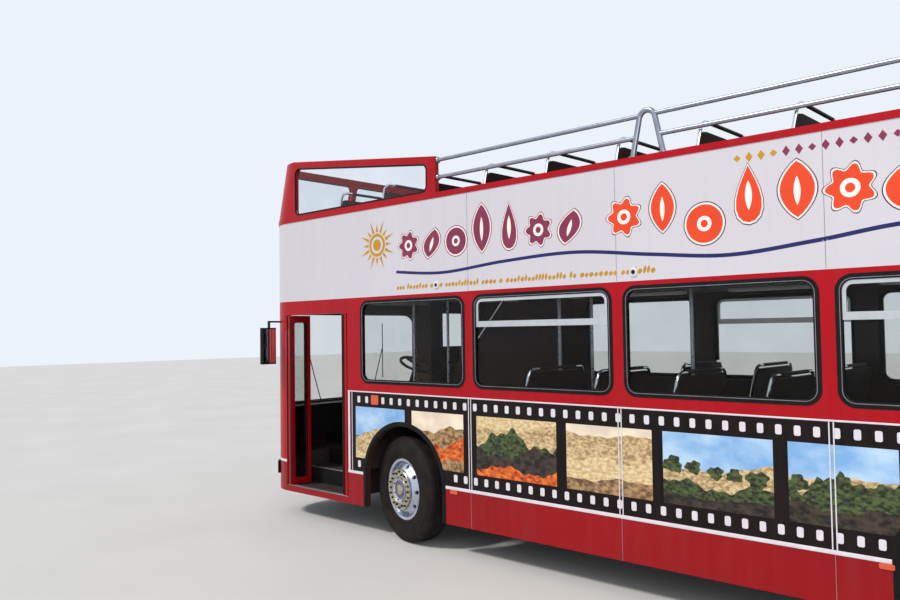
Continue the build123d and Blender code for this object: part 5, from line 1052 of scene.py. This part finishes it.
def make_tyre(name, place, middles, body, node):
    """One tyre or a twin pair, with four grooves round each tread."""
    half = list(TYRE_HALF)
    for at in GROOVES:
        half += [(0.5195, at + 0.006), (0.509, at + 0.004), (0.509, at - 0.004),
                 (0.5195, at - 0.006)]
    section = half + [(r, -y) for r, y in reversed(half)]
    shape = Shape()
    for middle in middles:
        shape.lathe([(r, middle + y) for r, y in section], place, 112, loop=True)
    shape.make(name, "tyre", "tyre", body, replaces=(node,), sharp=28)


def add_nuts(shape, place, y, radius, count, first, size, length):
    """A circle of six-sided nuts with chamfered ends, standing out along y."""
    for x, z in circle(0, 0, radius, count, first):
        shape.rings([[place @ Vector((u, y + out, v)) for u, v in circle(x, z, r, 6)]
                     for r, out in ((size, 0), (size, length * 0.8), (size * 0.82, length))])


def make_wheels(side, name):
    """Tyres and hub details of one side's wheels."""
    place = wheel_place(FRONT_AXLE_X, side)
    face = place @ Matrix.Translation((0, HUB_FACE_Y, 0))
    body = "wheel_front_" + name
    make_tyre("front_tyre_" + name, place, (1.0845,), body, "tyre_front_" + name)
    hub, nuts, band_ring, valve = Shape(), Shape(), Shape(), Shape()
    hub.lathe(HUB_FLANGE, face, 64, loop=True)
    hub.lathe(HUB_RING, face, 48, loop=True)
    hub.lathe(HUB_CAP, face, 40)
    band_ring.lathe(HUB_BAND, face, 40, loop=True)
    for row in FRONT_NUTS:
        add_nuts(nuts, face, *row)
    valve.tube(bend([place @ Vector(point) for point in VALVE], 0.02), 0.0045, 8)
    hub.make("hub_face_" + name, "hub", "rim_silver", body)
    nuts.make("hub_nuts_" + name, "dark", "trim_dark", body)
    band_ring.make("hub_band_" + name, "violet", "rim_silver", body)
    valve.make("valve_" + name, "aluminium", "aluminium", body)

    place = wheel_place(REAR_AXLE_X, side)
    body = "wheel_rear_" + name
    make_tyre("rear_tyres_" + name, place, (1.0675, 0.7475), body, "tyres_rear_" + name)
    rear_nuts = Shape()
    for row in REAR_NUTS:
        add_nuts(rear_nuts, place, *row)
    rear_nuts.make("rear_nuts_" + name, "hub", "rim_silver", body)


for side, name in NAMED_SIDES:
    make_wheels(side, name)


# Seats: moulded shells with stuffed cushions, bright tube frames and dark grips

SEAT_Y = 0.73
SEAT_W = 0.86
SEAT_LEAN = radians(12)
BACK_LENGTH = 0.6
TUBE_OUT = -0.02
# Heights over the floor: foot of the back, middle of the cushions, underside and top of the pan
BACK_Z = 0.43
CUSHION_Z = 0.402
PAN_LOW_Z = 0.347
PAN_HIGH_Z = 0.372
CUSHION_SIZE = (0.412, 0.4, 0.062)
BACK_SIZE = (0.4, 0.5, 0.03)
# Benches of each deck: back's top x, side, floor height, height of the foot over it
UPPER_BENCHES = [(3.432 - 0.695 * row, side, UPPER_FLOOR_Z, 0.0)
                 for row in range(11) for side in SIDES if side == LEFT or row not in (1, 2, 3)]
LOWER_BENCHES = [(0.887 - 0.7 * row, side, FLOOR_Z, 0.0)
                 for row in range(4) for side in SIDES if side == LEFT or row > 0]
LOWER_BENCHES += [(-3.84, LEFT, PLATFORM_Z, 0.0)]
LOWER_BENCHES += [(x, side, PLATFORM_Z, 0.181) for x in (-3.14, -2.44) for side in SIDES]


def make_benches(deck, benches, rail_rise, back_rise):
    """All double seats of one deck."""
    pads, backs, shells, tubes, grips = [Shape() for _ in range(5)]
    half = SEAT_W / 2
    up = Vector((-sin(SEAT_LEAN), 0, cos(SEAT_LEAN)))
    front = Vector((cos(SEAT_LEAN), 0, sin(SEAT_LEAN)))
    turn = Matrix(((0, up.x, front.x, 0), (1, 0, 0, 0), (0, up.z, front.z, 0), (0, 0, 0, 1)))
    top = BACK_LENGTH + back_rise + rail_rise / cos(SEAT_LEAN)
    for back_x, side, floor_z, foot_z in benches:
        foot_x = back_x + BACK_LENGTH * sin(SEAT_LEAN)
        seat_y = side * SEAT_Y
        base = Vector((foot_x, seat_y, floor_z + BACK_Z))

        def place(u, v, out):
            """Place on the back: u across, v up along the back, out towards its front."""
            return base + Vector((0, u, 0)) + up * v + front * out

        shells.plate(rounded(-half + 0.01, half - 0.01, -0.08, 0.598 + back_rise, 0.07), place,
                     -0.04, -0.018)
        shells.slab((foot_x - 0.04, seat_y - half + 0.006, floor_z + PAN_LOW_Z),
                    (foot_x + 0.395, seat_y + half - 0.006, floor_z + PAN_HIGH_Z), 0.01)
        for step in (-1, 1):
            spot = (foot_x + 0.19, seat_y + step * 0.214, floor_z + CUSHION_Z)
            pads.pad(Matrix.Translation(spot) @ Matrix.Rotation(pi / 2, 4, "Z"), CUSHION_SIZE)
            backs.pad(Matrix.Translation(place(step * 0.205, 0.325, -0.004)) @ turn, BACK_SIZE)
        # Tube frame up one edge, over the top and down the other, with a grip on the top
        edge, grip = half - 0.012, half - 0.15
        route = [place(u, v, TUBE_OUT)
                 for u, v in ((-edge, -0.02), (-edge, top), (edge, top), (edge, -0.02))]
        tubes.tube(bend(route, 0.07, 6), 0.0135, 10)
        grips.tube([place(u, top, TUBE_OUT) for u in (-grip, grip)], 0.015, 10)
        # Pedestal with its foot plate
        leg_y = side * (SEAT_Y - 0.15)
        low = floor_z + foot_z
        shells.slab((foot_x + 0.045, leg_y - 0.018, low),
                    (foot_x + 0.3, leg_y + 0.018, floor_z + 0.35), 0.008)
        shells.slab((foot_x + 0.025, leg_y - 0.045, low + 0.0005),
                    (foot_x + 0.32, leg_y + 0.045, low + 0.01), 0.003)
    node = ("seats_" + deck,)
    pads.make("cushions_" + deck, "seat", "seat_brown", replaces=node)
    backs.make("backs_" + deck, "seat", "seat_brown", replaces=node)
    shells.make("seat_shells_" + deck, "seat_shell", "seat_brown", replaces=node)
    tubes.make("seat_tubes_" + deck, "chrome", "rail_steel", replaces=node)
    grips.make("seat_grips_" + deck, "dark", "trim_dark", replaces=node)


make_benches("upper", UPPER_BENCHES, 0.07, 0.035)
make_benches("lower", LOWER_BENCHES, 0.025, 0.0)


# Fittings inside the lower deck

STAIR_RISE = 0.2245
STAIR_RUN = 0.2
STAIR_FOOT_X = 3.615
HANDRAIL_FOOT = Vector((3.3, -0.63, FLOOR_Z + 0.95))
HANDRAIL_RUN = 1.25
# Ceiling lamps: places along and across, half length and half width
CEILING_LAMPS = [(2.7, 0.62)] + [(x, y) for x in (0.7, -0.6, -1.9, -3.2) for y in (-0.62, 0.62)]
CEILING_LAMP_HALF = (0.42, 0.06)


def make_interior():
    """Stair rails and nosings, ceiling lamp covers, step plate and sill plate."""
    rails, plates, lamps = Shape(), Shape(), Shape()
    foot = HANDRAIL_FOOT
    head = foot + Vector((-HANDRAIL_RUN, 0, HANDRAIL_RUN * STAIR_RISE / STAIR_RUN))
    rails.tube(bend([foot - UP * 0.8, foot, head, head + Vector((-0.1, 0, 0.02))], 0.08), 0.0145)
    across = Vector((0.0, -0.54, 0))
    rails.tube([foot + across, head + across], 0.0145)
    rails.make("stair_rails", "chrome", "rail_steel")
    for step in range(1, 8):
        x, z = STAIR_FOOT_X - STAIR_RUN * step, FLOOR_Z + STAIR_RISE * step
        plates.slab((x - 0.03, -1.19, z - 0.0005), (x + 0.003, -0.595, z + 0.004), 0.0015)
    for low_y, high_y, z in ((1.196, 1.246, SILL_Z), (0.914, 0.952, STEP_Z)):
        plates.slab((DOOR_REAR_X + 0.008, low_y, z - 0.0005),
                    (DOOR_FRONT_X - 0.008, high_y, z + 0.004), 0.0015)
    plates.make("step_plates", "aluminium", "aluminium")
    half_x, half_y = CEILING_LAMP_HALF
    for x, y in CEILING_LAMPS:
        lamps.slab((x - half_x, y - half_y, DECK_Z - 0.032),
                   (x + half_x, y + half_y, DECK_Z - 0.001), 0.012)
    lamps.make("ceiling_lamps", "diffuser", "white_paint")


make_interior()


# Outside fittings: lamps, mirrors, wipers, destination blind, handles and clamps

# Lamps on the ends: end of the body, y, z and radius
LAMPS = ([(1, y, 0.8, 0.088) for y in (-0.76, -0.56, 0.56, 0.76)]
         + [(-1, y, z, 0.05) for y in (-0.93, 0.93) for z in (0.8, 0.93, 1.06)])
# Blank destination blind and box behind the grille: back, face, half width, low and high Z
BOXES = ((0.09, 0.06, 0.64, 2.54, 2.92), (0.11, 0.075, 0.42, 0.62, 0.96))
DIRECTION_LAMP = ((0.0, 0.0155), (0.03, 0.012), (0.04, 0.0), (0.0, 0.0))
# Mirror glasses: half width, low and high Z
MIRROR_GLASS = (0.086, 1.745, 2.135)
# Small round lamps over the windows, with their rims and dark centres
PANEL_LAMPS = ((1.882, 2.521), (-0.238, 2.514))
PANEL_RIM = ((0.016, 0.004), (0.02, 0.012), (0.034, 0.01), (0.04, -0.0005), (0.016, -0.0005))
PANEL_CENTRE = ((0.0, 0.01), (0.012, 0.009), (0.016, 0.005), (0.016, -0.0005), (0.0, -0.0005))
# Wipers: place and height of the spindle, place, middle and ends of the blade
WIPER_Y = 0.42
WIPER_Z = 1.21
BLADE_Y = 0.62
BLADE_MIDDLE_Z = 1.86
BLADE_ENDS_Z = (1.47, 2.2)
# Guard rails: place across, heights at the screen posts, hoops and half the spread of their feet
RAIL_Y = SIDE_Y - 0.0375
RAIL_HEIGHTS = (3.559, 3.725)
HOOPS = (-0.365, -3.6)
HOOP_HALF = 0.129
CLAMP = ((0.0183, -0.012), (0.03, -0.012), (0.03, 0.0), (0.0225, 0.012), (0.0183, 0.012))


def quarter(turn, x, y, z):
    """A place turned by quarters about Z, so that its Y axis faces along X."""
    return Matrix.Translation((x, y, z)) @ Matrix.Rotation(turn * pi / 2, 4, "Z")


def staple(x, y, z, reach):
    """Points of a handle of four corners, reach being its way out and its way along."""
    foot, out, along = Vector((x, y, z)), *(Vector(way) for way in reach)
    return bend([foot, foot + out, foot + out + along, foot + along], 0.012, 4)


def make_front():
    """Wipers, blank destination blind, box behind the grille and direction lamps."""
    black, amber = Shape(), Shape()
    for back, face, half, low_z, high_z in BOXES:
        black.slab((BODY_FRONT - back, -half, low_z), (BODY_FRONT - face, half, high_z), 0.006)
    for side in SIDES:
        root = Vector((BODY_FRONT + 0.012, side * WIPER_Y, WIPER_Z))
        tip = Vector((BODY_FRONT + 0.014, side * BLADE_Y, BLADE_MIDDLE_Z))
        black.tube([root, root.lerp(tip, 0.5) + Vector((0.006, 0, 0)), tip], 0.006, 8)
        black.tube([(BODY_FRONT + 0.006, side * BLADE_Y, z) for z in BLADE_ENDS_Z], 0.006, 6)
        black.slab((BODY_FRONT - 0.002, side * WIPER_Y - 0.018, WIPER_Z - 0.025),
                   (BODY_FRONT + 0.02, side * WIPER_Y + 0.018, WIPER_Z + 0.015), 0.006)
        amber.lathe(DIRECTION_LAMP, quarter(-1, BODY_FRONT, side * 0.66, 0.975), 28)
    black.make("front_fittings", "dark", "trim_dark")
    amber.make("front_direction_lamps", "lamp_amber", "lamp_amber")


def make_outside():
    """Bright rims, handles, mirror glasses, panel lamps and the guard rails' clamps."""
    bright, lens, white, lid, latch, glasses, clamps = [Shape() for _ in range(7)]
    for end, y, z, radius in LAMPS:
        rim = [(radius - 0.003, -0.001), (radius - 0.003, 0.017), (radius + 0.004, 0.021),
               (radius + 0.013, 0.014), (radius + 0.016, -0.001)]
        bright.lathe(rim, quarter(-end, BODY_FRONT if end > 0 else BODY_REAR, y, z), 40, loop=True)
    bright.tube([(BODY_FRONT + 0.002, y, z) for y, z in rounded(*GRILLE)], 0.008, 8, loop=True)
    bright.make("lamp_bezels", "chrome", "aluminium")
    # Handle and latches of the engine's lid, and handle of the emergency door
    lid.tube(staple(BODY_REAR, -0.1, 0.56, ((-0.022, 0, 0), (0, 0.2, 0))), 0.007, 8)
    for y in (-0.62, 0.55):
        lid.slab((BODY_REAR - 0.008, y, 0.54), (BODY_REAR + 0.001, y + 0.07, 0.62), 0.003)
    lid.make("lid_handle", "chrome", "aluminium", "engine_cover")
    latch.tube(staple(EXIT_REAR_X + 0.07, -SIDE_Y, 1.33, ((0, -0.035, 0), (0, 0, -0.15))), 0.008,
               8)
    latch.make("exit_handle", "chrome", "aluminium", "emergency_door")
    for side in SIDES:
        y = side * (MIRROR_END_Y - 0.1)
        half, *heights = MIRROR_GLASS
        glasses.plate(rounded(y - half, y + half, *heights, 0.022, 4),
                      facing(MIRROR_REAR_X, -1), -0.0005, 0.003)
        for x, z in PANEL_LAMPS:
            place = Matrix.Translation((x, side * SIDE_Y, z)) @ Matrix.Diagonal((1, side, 1, 1))
            white.lathe(PANEL_RIM, place, 28, loop=True)
            lens.lathe(PANEL_CENTRE, place, 24)
        for z in RAIL_HEIGHTS:
            clamps.lathe(CLAMP, quarter(1, SCREEN_REAR_X - 0.012, side * RAIL_Y, z), 24, loop=True)
        for x in [hoop_x + way * HOOP_HALF for hoop_x in HOOPS for way in (-1, 1)]:
            foot = Matrix.Translation((x, side * RAIL_Y, CAP_HIGH_Z + 0.008))
            add_nuts(clamps, foot @ Matrix.Rotation(pi / 2, 4, "X"), -0.0005, 0.029, 4, 0.5,
                     0.0055, 0.005)
    glasses.make("mirror_glasses", "mirror", "aluminium")
    lens.make("panel_lamp_centres", "dark", "trim_dark")
    white.make("panel_lamp_rims", "white_trim", "white_paint")
    clamps.make("rail_clamps", "steel", "rail_steel")


make_front()
make_outside()


# Stage, light and camera

STAGE_HALF = 60.0


def make_stage():
    """A pale floor, and a white backdrop that only the camera, glass and gloss see."""
    data = bpy.data.meshes.new("floor")
    corners = ((-1, -1), (1, -1), (1, 1), (-1, 1))
    data.from_pydata([(x * STAGE_HALF, y * STAGE_HALF, 0) for x, y in corners], [], [(0, 1, 2, 3)])
    data.materials.append(material("pale_floor", (0.62, 0.61, 0.59), 0.8, vary=0.05, scale=0.6))
    put("floor", data)

    world = bpy.data.worlds.new("studio")
    bpy.context.scene.world = world
    kit = Nodes(world)
    kit.nodes.clear()
    rays = kit.nodes.new("ShaderNodeLightPath").outputs
    seen = kit.math("MAXIMUM", rays["Is Camera Ray"], rays["Is Transmission Ray"])
    seen = kit.math("MAXIMUM", seen, rays["Is Glossy Ray"])
    soft = kit.add("Background", {"Color": (0.86, 0.92, 1.0), "Strength": 0.62})
    backdrop = kit.add("Background", {"Color": (0.84, 0.89, 0.96), "Strength": 1.0})
    kit.fill(kit.nodes.new("ShaderNodeOutputWorld"),
             {"Surface": kit.add("MixShader", {0: seen, 1: soft, 2: backdrop})})


def add_lamp(data, energy, place, target, color=(1, 1, 1)):
    """A lamp at place, looking at target."""
    data.energy = energy
    data.color = color
    lamp = put(data.name, data)
    lamp.location = place
    lamp.rotation_mode = "QUATERNION"
    lamp.rotation_quaternion = (Vector(place) - Vector(target)).to_track_quat("Z", "Y")


make_stage()
sun = bpy.data.lights.new("sun", "SUN")
sun.angle = radians(9)
add_lamp(sun, 2.3, (6, 12, 16), (0, 0, 1), (1.0, 0.97, 0.92))
fill = bpy.data.lights.new("fill", "AREA")
fill.size = 7
add_lamp(fill, 420, (-9, 10, 5), (0, 0, 1.8))

# Camera at the photograph's viewing place. It looks forward and across the bus, and
# its turn, tilt and roll are in degrees.
CAMERA_PLACE = (-3.421, 6.731, 2.074)
CAMERA_LENS = 32.07
CAMERA_TURN = -136.914
CAMERA_TILT = 92.272
CAMERA_ROLL = -0.819
camera_data = bpy.data.cameras.new("camera")
camera_data.lens = CAMERA_LENS
camera_data.sensor_width = 36.0
camera_data.clip_end = 300.0
camera = put("camera", camera_data)
camera.matrix_world = (
    Matrix.Translation(CAMERA_PLACE)
    @ Matrix.Rotation(radians(CAMERA_TURN), 4, "Z")
    @ Matrix.Rotation(radians(CAMERA_TILT), 4, "X")
    @ Matrix.Rotation(radians(CAMERA_ROLL), 4, "Z")
)
bpy.context.scene.camera = camera
bpy.context.scene.view_settings.view_transform = "Standard"
